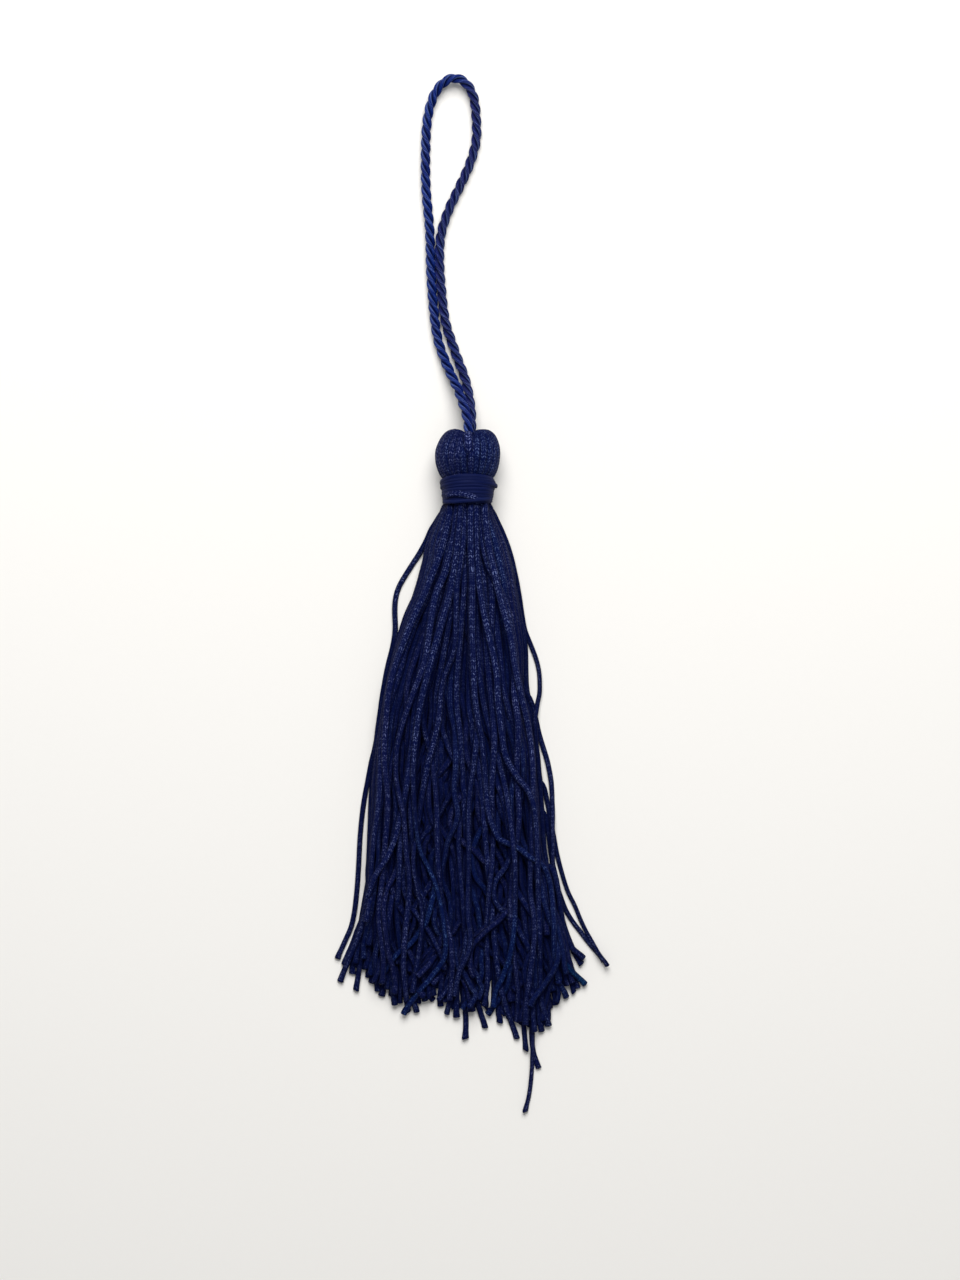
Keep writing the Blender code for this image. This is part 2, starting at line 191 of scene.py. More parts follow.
floorSettings = {
    "half": 900.0,
    "colour": (0.872, 0.855, 0.825),
    "fleck": 0.99,         # how bright the darker flecks are against the rest
    "grain": 900.0,        # flecks a metre, about
    "roughness": 0.75,
    "gloss": 0.2,
}


def addFloor(settings):
    shape = bmesh.new()
    bmesh.ops.create_grid(shape, x_segments=8, y_segments=8, size=settings["half"] * mm)
    mesh = bpy.data.meshes.new("floor")
    shape.to_mesh(mesh)
    shape.free()
    floor = bpy.data.objects.new("floor", mesh)
    collection.objects.link(floor)
    material = bpy.data.materials.new("paleCard")
    material.use_nodes = True
    tree = material.node_tree
    shader = tree.nodes["Principled BSDF"]
    shader.inputs["Roughness"].default_value = settings["roughness"]
    shader.inputs["Specular IOR Level"].default_value = settings["gloss"]
    place = addNode(tree, "ShaderNodeTexCoord").outputs["Object"]
    darker = tuple(channel * settings["fleck"] for channel in settings["colour"])
    colour = mixColours(tree, darker, settings["colour"], noiseNode(tree, place, settings["grain"], 2.0))
    feed(tree, colour, shader.inputs["Base Color"])
    mesh.materials.append(material)


addCamera(viewSettings)
addLights(lightSettings)
addFloor(floorSettings)
print("camera, lights and floor are in")


def startGroup(name, kind, inputs, outputs):
    tree = bpy.data.node_groups.new(name, kind)
    for label, socketKind, value in inputs:
        socket = tree.interface.new_socket(name=label, in_out="INPUT", socket_type=socketKind)
        if value is not None:
            socket.default_value = value
    for label, socketKind in outputs:
        tree.interface.new_socket(name=label, in_out="OUTPUT", socket_type=socketKind)
    return tree, tree.nodes.new("NodeGroupInput").outputs, tree.nodes.new("NodeGroupOutput").inputs


stitchSettings = {
    "legAt": 0.25,             # where each leg of a stitch is, in shares of the stitch's width
    "legHalf": 0.27,           # and half its width
    "fullness": 0.8,           # below 1 a leg is blunter
    "crest": (0.6, 0.98),      # the heights over which its crest begins
    "uneven": (1.3, 1.6),      # how often the spacing wavers, and by how many stitches
    "seeds": (53.0, 37.0, 91.0),   # steps of a strand's seed in its waver, first stitch and light
}


def knitStitchGroup(settings):
    # rows of V-shaped stitches around and along a knitted tube: UV is once around, and millimetres along
    tree, given, end = startGroup(
        "knitStitch", "ShaderNodeTree",
        (("Vector", "NodeSocketVector", None), ("Wales", "NodeSocketFloat", 3.0),
         ("Stitch", "NodeSocketFloat", 0.5), ("Slant", "NodeSocketFloat", 0.6),
         ("Seed", "NodeSocketFloat", 0.0)),
        (("Height", "NodeSocketFloat"), ("Crest", "NodeSocketFloat"), ("Chance", "NodeSocketFloat")),
    )
    waveSeed, startSeed, lightSeed = settings["seeds"]
    place = splitVector(tree, given["Vector"])
    wales = timesNode(tree, place["X"], given["Wales"])
    side = distanceNode(tree, mathNode(tree, "FRACT", wales), 0.5)
    # the stitches are not quite even, and start elsewhere on each strand
    frequency, shift = settings["uneven"]
    wander = joinVector(tree, timesNode(tree, given["Seed"], waveSeed), place["Y"])
    along = mathNode(tree, "MULTIPLY_ADD", given["Seed"], startSeed,
                     mathNode(tree, "DIVIDE", place["Y"], given["Stitch"]))
    along = mathNode(tree, "MULTIPLY_ADD", noiseNode(tree, wander, frequency, 1.0, "2D"), shift, along)
    slanted = mathNode(tree, "ADD", along, timesNode(tree, side, 2.0, given["Slant"]))
    length = mathNode(tree, "SINE", timesNode(tree, mathNode(tree, "FRACT", slanted), math.pi))
    offLeg = mathNode(tree, "SUBTRACT", side, settings["legAt"])
    offLeg = mathNode(tree, "DIVIDE", offLeg, settings["legHalf"])
    room = mathNode(tree, "SUBTRACT", 1.0, timesNode(tree, offLeg, offLeg), clamp=True)
    blunt = mathNode(tree, "POWER", length, settings["fullness"])
    height = timesNode(tree, blunt, mathNode(tree, "SQRT", room))
    feed(tree, height, end["Height"])
    feed(tree, rangeNode(tree, height, *settings["crest"], ease="SMOOTHSTEP"), end["Crest"])
    # every stitch catches the light a little differently
    stitchPlace = joinVector(tree, mathNode(tree, "FLOOR", timesNode(tree, wales, 2.0)),
                             mathNode(tree, "FLOOR", slanted), timesNode(tree, given["Seed"], lightSeed))
    chance = addNode(tree, "ShaderNodeTexWhiteNoise", {"Vector": stitchPlace}, noise_dimensions="3D")
    feed(tree, chance.outputs["Value"], end["Chance"])
    return tree


def yarnFibreGroup(driftScale=160.0):
    # fine filaments that run along a yarn, and a slow drift of tone over the whole piece
    tree, given, end = startGroup(
        "yarnFibre", "ShaderNodeTree",
        (("Vector", "NodeSocketVector", None), ("Place", "NodeSocketVector", None),
         ("Filaments", "NodeSocketFloat", 14.0), ("Stretch", "NodeSocketFloat", 0.35),
         ("Twist", "NodeSocketFloat", 0.0)),
        (("Filament", "NodeSocketFloat"), ("Drift", "NodeSocketFloat")),
    )
    place = splitVector(tree, given["Vector"])
    turn = timesNode(tree, place["Y"], given["Twist"])
    around = timesNode(tree, mathNode(tree, "ADD", place["X"], turn), math.tau)
    reach = mathNode(tree, "DIVIDE", given["Filaments"], 3.0)
    joined = joinVector(tree, timesNode(tree, mathNode(tree, "COSINE", around), reach),
                        timesNode(tree, mathNode(tree, "SINE", around), reach),
                        timesNode(tree, place["Y"], given["Stretch"]))
    feed(tree, noiseNode(tree, joined, 1.0, 2.0), end["Filament"])
    feed(tree, noiseNode(tree, given["Place"], driftScale, 1.0), end["Drift"])
    return tree


knitStitch = knitStitchGroup(stitchSettings)
yarnFibre = yarnFibreGroup()


def placeGroup(tree, group, **inputs):
    return addNode(tree, "ShaderNodeGroup", inputs, node_tree=group).outputs


def readAttribute(tree, name):
    return addNode(tree, "ShaderNodeAttribute", attribute_name=name).outputs["Fac"]


def toneRamp(tree, tones, factor):
    ramp = addNode(tree, "ShaderNodeValToRGB", {"Fac": factor})
    elements = ramp.color_ramp.elements
    while len(elements) < len(tones):
        elements.new(0.5)
    for element, (position, colour) in zip(elements, tones):
        element.position = position
        element.color = (*colour, 1.0)
    return ramp.outputs["Color"]


yarnSheen = {"roughness": 0.45, "tint": (0.45, 0.5, 0.95)}


def startYarn(name, settings):
    # a material with the fibres that all the yarns have
    material = bpy.data.materials.new(name)
    material.use_nodes = True
    tree = material.node_tree
    shader = tree.nodes["Principled BSDF"]
    shader.inputs["Specular IOR Level"].default_value = settings["gloss"]
    shader.inputs["Sheen Weight"].default_value = settings["sheen"]
    shader.inputs["Sheen Roughness"].default_value = yarnSheen["roughness"]
    shader.inputs["Sheen Tint"].default_value = (*yarnSheen["tint"], 1.0)
    along = addNode(tree, "ShaderNodeUVMap", uv_map="UVMap").outputs["UV"]
    place = addNode(tree, "ShaderNodeTexCoord").outputs["Object"]
    fibre = placeGroup(tree, yarnFibre, Vector=along, Place=place, Filaments=settings["filaments"],
                       Stretch=settings["stretch"], Twist=settings["twist"])
    return material, along, fibre


def endYarn(material, settings, colour, roughness, relief):
    tree = material.node_tree
    shader = tree.nodes["Principled BSDF"]
    strength, distance = settings["bump"]
    inputs = {"Strength": strength, "Distance": distance * mm, "Height": relief}
    bump = addNode(tree, "ShaderNodeBump", inputs)
    feed(tree, colour, shader.inputs["Base Color"])
    feed(tree, roughness, shader.inputs["Roughness"])
    feed(tree, bump.outputs["Normal"], shader.inputs["Normal"])
    return material


# a range in the yarns' settings is the mask's low and high end, and what they become
knitSettings = {
    "wales": 5.0,
    "stitch": 0.44,
    "slant": 0.8,
    "grooves": ((0.0, (0.0007, 0.0034, 0.048)), (0.45, (0.0003, 0.0041, 0.051)),
                (0.8, (0.0001, 0.0064, 0.070)), (1.0, (0.0001, 0.0135, 0.070))),
    # painted highlights on the stitch crests, by tone
    "crestHighlights": ((0.0, (0.174, 0.187, 0.416)), (0.45, (0.142, 0.191, 0.426)),
               (0.8, (0.088, 0.192, 0.484)), (1.0, (0.041, 0.212, 0.454))),
    "chance": (0.0, 1.0, 0.08, 1.35),
    "rareness": 2.1,               # higher leaves fewer stitches with a painted highlight
    "filaments": 22.0,
    "stretch": 1.1,
    "twist": 0.0,
    "filament": (0.3, 0.7, 0.6, 1.0),
    "drift": (0.3, 0.7, 0.65, 1.0),
    "buriedShade": 0.36,                # how much the painted shade on yarn deep in the heap dims its painted highlights
    "sunk": 0.74,                  # and how far that painted shade darkens it towards the painted shade colour
    "paintedShadeColour": (0.0002, 0.0030, 0.040),
    # painted shade on the flanks, where neighbours press close
    "flankShade": (0.30, 0.80, 0.85, 0.0),
    "roughness": (0.0, 1.0, 0.75, 0.42),
    "fuzz": 0.25,
    "bump": (0.9, 0.14),           # strength and height
    "sheen": 0.015,
    "gloss": 0.05,
}


def knitMaterial(name, settings):
    material, along, fibre = startYarn(name, settings)
    tree = material.node_tree
    tone, seed, buriedShade = (readAttribute(tree, label) for label in ("tone", "seed", "buriedShade"))
    stitch = placeGroup(tree, knitStitch, Vector=along, Wales=settings["wales"], Stitch=settings["stitch"],
                        Slant=settings["slant"], Seed=seed)
    chance = mathNode(tree, "POWER", stitch["Chance"], settings["rareness"])
    # painted highlights on the stitch crests, each a little different, dimmed where the yarn carries painted
    # shade
    paintedHighlight = timesNode(tree, stitch["Crest"], rangeNode(tree, chance, *settings["chance"]),
                    rangeNode(tree, fibre["Filament"], *settings["filament"]),
                    rangeNode(tree, fibre["Drift"], *settings["drift"]),
                    mathNode(tree, "MULTIPLY_ADD", buriedShade, -settings["buriedShade"], 1.0))
    grooves, crestHighlights = (toneRamp(tree, settings[label], tone) for label in ("grooves", "crestHighlights"))
    colour = mixColours(tree, grooves, crestHighlights, paintedHighlight)
    # painted shade: the flanks, pressed between neighbours, are made darker, and so is yarn deep in the heap
    around = timesNode(tree, splitVector(tree, along)["X"], math.tau)
    facing = mathNode(tree, "ABSOLUTE", mathNode(tree, "COSINE", around))
    colour = mixColours(tree, colour, settings["paintedShadeColour"], rangeNode(tree, facing, *settings["flankShade"]))
    colour = mixColours(tree, colour, settings["paintedShadeColour"], timesNode(tree, buriedShade, settings["sunk"]))
    relief = mathNode(tree, "MULTIPLY_ADD", fibre["Filament"], settings["fuzz"], stitch["Height"])
    roughness = rangeNode(tree, stitch["Height"], *settings["roughness"])
    return endYarn(material, settings, colour, roughness, relief)


windingSettings = {
    "tones": ((0.0, (0.0008, 0.0036, 0.036)), (0.5, (0.0014, 0.0046, 0.042)), (1.0, (0.002, 0.0062, 0.048))),
    "line": (0.024, 0.032, 0.110),
    "lines": (0.46, 0.72, 0.0, 0.58),
    "filaments": 34.0,
    "stretch": 0.35,
    "twist": 0.0,
    "roughness": (0.3, 0.7, 0.42, 0.62),
    "bump": (0.8, 0.04),
    "sheen": 0.005,
    "gloss": 0.04,
}


def windingMaterial(name, settings):
    material, _, fibre = startYarn(name, settings)
    tree = material.node_tree
    base = toneRamp(tree, settings["tones"], readAttribute(tree, "tone"))
    colour = mixColours(tree, base, settings["line"], rangeNode(tree, fibre["Filament"], *settings["lines"]))
    roughness = rangeNode(tree, fibre["Drift"], *settings["roughness"])
    return endYarn(material, settings, colour, roughness, fibre["Filament"])


plySettings = {
    "lobes": 3.0,
    "near": ((0.0004, 0.0044, 0.064), (0.0060, 0.0290, 0.245)),  # dark, and bright for painted highlights along the filaments, on the first leg
    "far": ((0.0014, 0.0030, 0.038), (0.0170, 0.0200, 0.135)),   # and on the leg that comes back
    "turnAt": (46.0, 60.0),
    "drift": (0.35, 0.65, -0.35, 0.35),
    "lines": (0.38, 0.66, 0.0, 1.0),
    "glint": (0.22, 0.32, 0.66),
    "glints": (0.56, 0.70, 0.0, 0.6),
    "back": (0.05, 0.25, 1.0, 0.15),     # the backs of the plies catch the light
    "rimAt": 0.80,                       # a painted highlight: one edge of each ply shows as a thin pale line beside the valley
    "rim": (0.03, 0.10, 0.48, 0.0),
    "rimLines": (0.36, 0.60, 0.15, 1.0),
    # painted shade in the valleys between the plies
    "valleyShade": (0.0003, 0.0022, 0.034),
    "valleyShadeRange": (0.22, 0.46, 0.0, 0.97),
    "filaments": 60.0,
    "stretch": 0.30,
    "twist": 0.10,
    "roughness": (0.3, 0.7, 0.30, 0.45),
    "bump": (0.8, 0.07),
    "sheen": 0.01,
    "gloss": 0.05,
}


def plyMaterial(name, settings):
    material, along, fibre = startYarn(name, settings)
    tree = material.node_tree
    filament, drift = fibre["Filament"], fibre["Drift"]
    place = splitVector(tree, along)
    leg = rangeNode(tree, place["Y"], *settings["turnAt"])
    leg = mathNode(tree, "ADD", leg, rangeNode(tree, drift, *settings["drift"]), clamp=True)
    dark, bright = (mixColours(tree, near, far, leg) for near, far in zip(settings["near"], settings["far"]))
    ply = mathNode(tree, "FRACT", timesNode(tree, place["X"], settings["lobes"]))
    offBack = distanceNode(tree, ply, 0.5)
    # painted glints on the backs of the plies, a painted highlight on one edge of each, and painted shade in
    # the valleys
    glints = timesNode(tree, rangeNode(tree, filament, *settings["glints"]),
                       rangeNode(tree, offBack, *settings["back"]))
    rim = timesNode(tree, rangeNode(tree, distanceNode(tree, ply, settings["rimAt"]), *settings["rim"]),
                    rangeNode(tree, filament, *settings["rimLines"]))
    # painted highlights along the filaments
    colour = mixColours(tree, dark, bright, rangeNode(tree, filament, *settings["lines"]))
    for tint, mask in ((settings["glint"], glints), (settings["glint"], rim),
                       (settings["valleyShade"], rangeNode(tree, offBack, *settings["valleyShadeRange"]))):
        colour = mixColours(tree, colour, tint, mask)
    return endYarn(material, settings, colour, rangeNode(tree, drift, *settings["roughness"]), filament)


knittedYarn = knitMaterial("knittedYarn", knitSettings)
windingYarn = windingMaterial("windingYarn", windingSettings)
twistedPlies = plyMaterial("twistedPlies", plySettings)
print("materials are ready")


def captureNode(tree, label, geometry, value):
    node = addNode(tree, "GeometryNodeCaptureAttribute")
    node.capture_items.new("FLOAT", label)
    feed(tree, geometry, node.inputs["Geometry"])
    feed(tree, value, node.inputs[1])
    return node.outputs["Geometry"], node.outputs[1]


def strandTree():
    # sweeps an oval along each guide; the guides carry girth, face (which way the flat side looks) and tone
    tree, given, end = startGroup(
        "strandTubes", "GeometryNodeTree",
        (("Guides", "NodeSocketGeometry", None), ("Width", "NodeSocketFloat", 0.00085),
         ("Thickness", "NodeSocketFloat", 0.00070), ("Sides", "NodeSocketInt", 12),
         ("Weld", "NodeSocketFloat", 0.0000005), ("Yarn", "NodeSocketMaterial", None)),
        (("Strands", "NodeSocketGeometry"),),
    )
    face, girth = (
        addNode(tree, "GeometryNodeInputNamedAttribute", {"Name": label}, data_type=kind).outputs["Attribute"]
        for label, kind in (("face", "FLOAT_VECTOR"), ("girth", "FLOAT"))
    )
    curve = addNode(tree, "GeometryNodeMeshToCurve", {"Mesh": given["Guides"]}).outputs["Curve"]
    turned = addNode(tree, "GeometryNodeSetCurveNormal", {"Curve": curve, "Normal": face}, mode="FREE")
    length = addNode(tree, "GeometryNodeSplineParameter").outputs["Length"]
    curve, length = captureNode(tree, "Length", turned.outputs["Curve"], length)

    # a whole turn has one point more than it has sides, because its ends are welded later
    points = mathNode(tree, "ADD", given["Sides"], 1.0)
    inputs = {"Resolution": points, "Radius": 1.0, "Sweep Angle": math.tau}
    ring = addNode(tree, "GeometryNodeCurveArc", inputs, mode="RADIUS").outputs["Curve"]
    halves = [timesNode(tree, given[label], 0.5) for label in ("Thickness", "Width")]
    oval = addNode(tree, "GeometryNodeTransform", {"Geometry": ring, "Scale": joinVector(tree, *halves, 1.0)})
    step = addNode(tree, "GeometryNodeSplineParameter").outputs["Index"]
    share = mathNode(tree, "DIVIDE", step, given["Sides"])
    oval, turn = captureNode(tree, "Turn", oval.outputs["Geometry"], share)

    sweep = addNode(tree, "GeometryNodeCurveToMesh", {"Curve": curve, "Profile Curve": oval, "Scale": girth})
    inputs = {"Geometry": sweep.outputs["Mesh"], "Name": "UVMap",
              "Value": joinVector(tree, turn, timesNode(tree, length, 1.0 / mm))}
    mapped = addNode(tree, "GeometryNodeStoreNamedAttribute", inputs, data_type="FLOAT2", domain="CORNER")
    shape = addNode(tree, "GeometryNodeMergeByDistance",
                    {"Geometry": mapped.outputs["Geometry"], "Distance": given["Weld"]}).outputs["Geometry"]
    for kind in ("SetShadeSmooth", "RealizeInstances"):
        shape = addNode(tree, "GeometryNode" + kind, {"Geometry": shape}).outputs["Geometry"]
    yarn = addNode(tree, "GeometryNodeSetMaterial", {"Geometry": shape, "Material": given["Yarn"]})
    feed(tree, yarn.outputs["Geometry"], end["Strands"])
    return tree


strandTubes = strandTree()
floorGap = 0.02            # between the surface and the strands that lie on it


def socketKey(tree, label):
    for item in tree.interface.items_tree:
        if item.item_type == "SOCKET" and item.in_out == "INPUT" and item.name == label:
            return item.identifier
    raise KeyError(label)


def makeStrands(name, guides, settings, material):
    # guides: points, faces and girths along each strand, with its tone and its painted shade
    counts = [len(guide["points"]) for guide in guides]
    starts = [sum(counts[:index]) for index in range(len(counts))]
    edges = [(row, row + 1) for start, count in zip(starts, counts)
             for row in range(start, start + count - 1)]
    mesh = bpy.data.meshes.new(name + "Guides")
    points = np.concatenate([guide["points"] for guide in guides]) * mm
    mesh.from_pydata([tuple(point) for point in points.tolist()], edges, [])
    for index, guide in enumerate(guides):
        guide["seed"] = index * 0.618034 % 1.0
    for label in ("girth", "tone", "buriedShade", "seed"):
        rows = [guide.get(label, 0.0) + np.zeros(count) for guide, count in zip(guides, counts)]
        layer = mesh.attributes.new(label, "FLOAT", "POINT")
        layer.data.foreach_set("value", np.concatenate(rows).astype(np.float32))
    faces = np.concatenate([guide["faces"] for guide in guides])
    layer = mesh.attributes.new("face", "FLOAT_VECTOR", "POINT")
    layer.data.foreach_set("vector", faces.astype(np.float32).ravel())
    holder = bpy.data.objects.new(name + "Guides", mesh)
    collection.objects.link(holder)
    modifier = holder.modifiers.new("tubes", "NODES")
    modifier.node_group = strandTubes
    for label, value in (("Width", settings["width"] * mm), ("Thickness", settings["thickness"] * mm),
                         ("Sides", settings["sides"]), ("Yarn", material)):
        modifier[socketKey(strandTubes, label)] = value
    tubes = bpy.data.meshes.new_from_object(holder.evaluated_get(bpy.context.evaluated_depsgraph_get()))
    tubes.name = name
    piece = bpy.data.objects.new(name, tubes)
    collection.objects.link(piece)
    bpy.data.objects.remove(holder, do_unlink=True)
    bpy.data.meshes.remove(mesh)
    for label in ("girth", "face"):
        if label in tubes.attributes:
            tubes.attributes.remove(tubes.attributes[label])
    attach(piece, "root")
    return piece


cordSettings = {
    "diameter": 1.3,
    "lead": 4.9,           # along the cord for one turn of its twist
    "lobes": 3,
    "sides": 30,
    "spacing": 0.22,
    "floorGap": 0.01,
    "closing": 0.3,        # how far from an end it reaches its full girth
    # x, y, z from the end of the left leg in the dimple, round the top and back down the right leg
    "route": (
        (0.11, 2.22, 4.18), (0.12, 4.10, 4.12), (-0.35, 6.20, 3.55), (-0.86, 7.65, 2.95), (-1.32, 9.05, 2.35),
        (-1.96, 10.40, 1.80), (-3.17, 13.20, 1.00), (-4.10, 16.00, 0.67), (-4.68, 20.00, 0.67),
        (-5.07, 25.50, 0.67), (-5.25, 31.30, 0.67), (-5.75, 37.00, 0.67), (-5.80, 42.40, 0.67),
        (-5.55, 46.60, 0.75), (-4.88, 49.30, 0.95), (-4.10, 50.75, 1.15), (-3.05, 51.80, 1.35),
        (-1.76, 52.22, 1.40), (-0.48, 51.75, 1.30), (0.45, 50.60, 1.10), (0.98, 49.00, 0.90),
        (1.24, 46.20, 0.72), (1.20, 43.60, 0.67), (0.40, 40.60, 0.67), (-1.00, 37.40, 0.67),
        (-2.60, 34.00, 0.67), (-3.66, 30.60, 0.67), (-3.88, 27.00, 0.67), (-3.58, 22.50, 0.67),
        (-3.04, 18.40, 0.67), (-2.06, 15.30, 0.68), (-1.32, 13.20, 0.80), (-0.46, 10.90, 1.20),
        (0.02, 9.05, 1.70), (0.28, 7.65, 2.15), (0.50, 6.20, 2.55), (0.56, 4.10, 2.76), (0.38, 2.22, 2.82),
    ),
}


def carryFrames(points):
    # two directions square to the path at each point, carried along it without turning
    tangents = unitRows(np.gradient(points, axis=0))
    first = np.cross(tangents[0], (0.0, 0.0, 1.0))
    firsts = [first / np.linalg.norm(first)]
    for tangent in tangents[1:]:
        side = firsts[-1] - tangent * np.dot(firsts[-1], tangent)
        firsts.append(side / np.linalg.norm(side))
    firsts = np.array(firsts)
    return firsts, np.cross(tangents, firsts)


def tubeFaces(count, sides, distance):
    # quads along a tube with closed ends, and the UV of every corner: once around, and millimetres along
    faces, corners = [], []
    for row in range(count - 1):
        for side in range(sides):
            around = [(side + right, row + ahead) for right, ahead in ((0, 0), (1, 0), (1, 1), (0, 1))]
            faces.append([place * sides + turn % sides for turn, place in around])
            corners += [(turn / sides, distance[place]) for turn, place in around]
    for start, turn, place in ((0, -1, 0.0), ((count - 1) * sides, 1, distance[-1])):
        ring = range(sides)[::turn]
        faces.append([start + side for side in ring])
        corners += [(side / sides, place) for side in ring]
    return faces, corners


def buildCord(settings):
    points, length = smoothPath(settings["route"], settings["spacing"])
    across, up = carryFrames(points)
    sides, lobes = settings["sides"], settings["lobes"]
    # each ply is a circle that touches the others at the middle, and the cord measures two of them across
    plyRadius = settings["diameter"] / 4.0
    centre = 2.0 * plyRadius / math.sqrt(3.0)
    points[:, 2] = np.maximum(points[:, 2], plyRadius + centre + settings["floorGap"])
    turns = np.linspace(0.0, math.tau, sides, endpoint=False)
    local = np.abs((turns * lobes / math.tau) % 1.0 - 0.5) * math.tau / lobes
    radii = centre * np.cos(local) + np.sqrt(np.maximum(plyRadius ** 2 - (centre * np.sin(local)) ** 2, 0.0))
    distance = np.linspace(0.0, length, len(points))
    twist = -math.tau * distance / settings["lead"]
    closing = np.minimum(1.0, np.minimum(distance, length - distance) / settings["closing"] + 0.02)
    rings = []
    for index, point in enumerate(points):
        angles = turns + twist[index]
        ring = np.outer(np.cos(angles) * radii, across[index]) + np.outer(np.sin(angles) * radii, up[index])
        rings.append(point + ring * math.sqrt(closing[index]))
    faces, corners = tubeFaces(len(points), sides, distance)
    mesh = bpy.data.meshes.new("loopCord")
    mesh.from_pydata([tuple(vertex) for vertex in (np.concatenate(rings) * mm).tolist()], [], faces)
    mesh.uv_layers.new(name="UVMap").data.foreach_set("uv", np.array(corners, dtype=np.float32).ravel())
    mesh.shade_smooth()
    mesh.materials.append(twistedPlies)
    cord = bpy.data.objects.new("loopCord", mesh)
    collection.objects.link(cord)
    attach(cord, "root")
    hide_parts("hanging_loop")
    return length


loopLength = buildCord(cordSettings)
print(f"loop cord, {loopLength:.1f} mm")


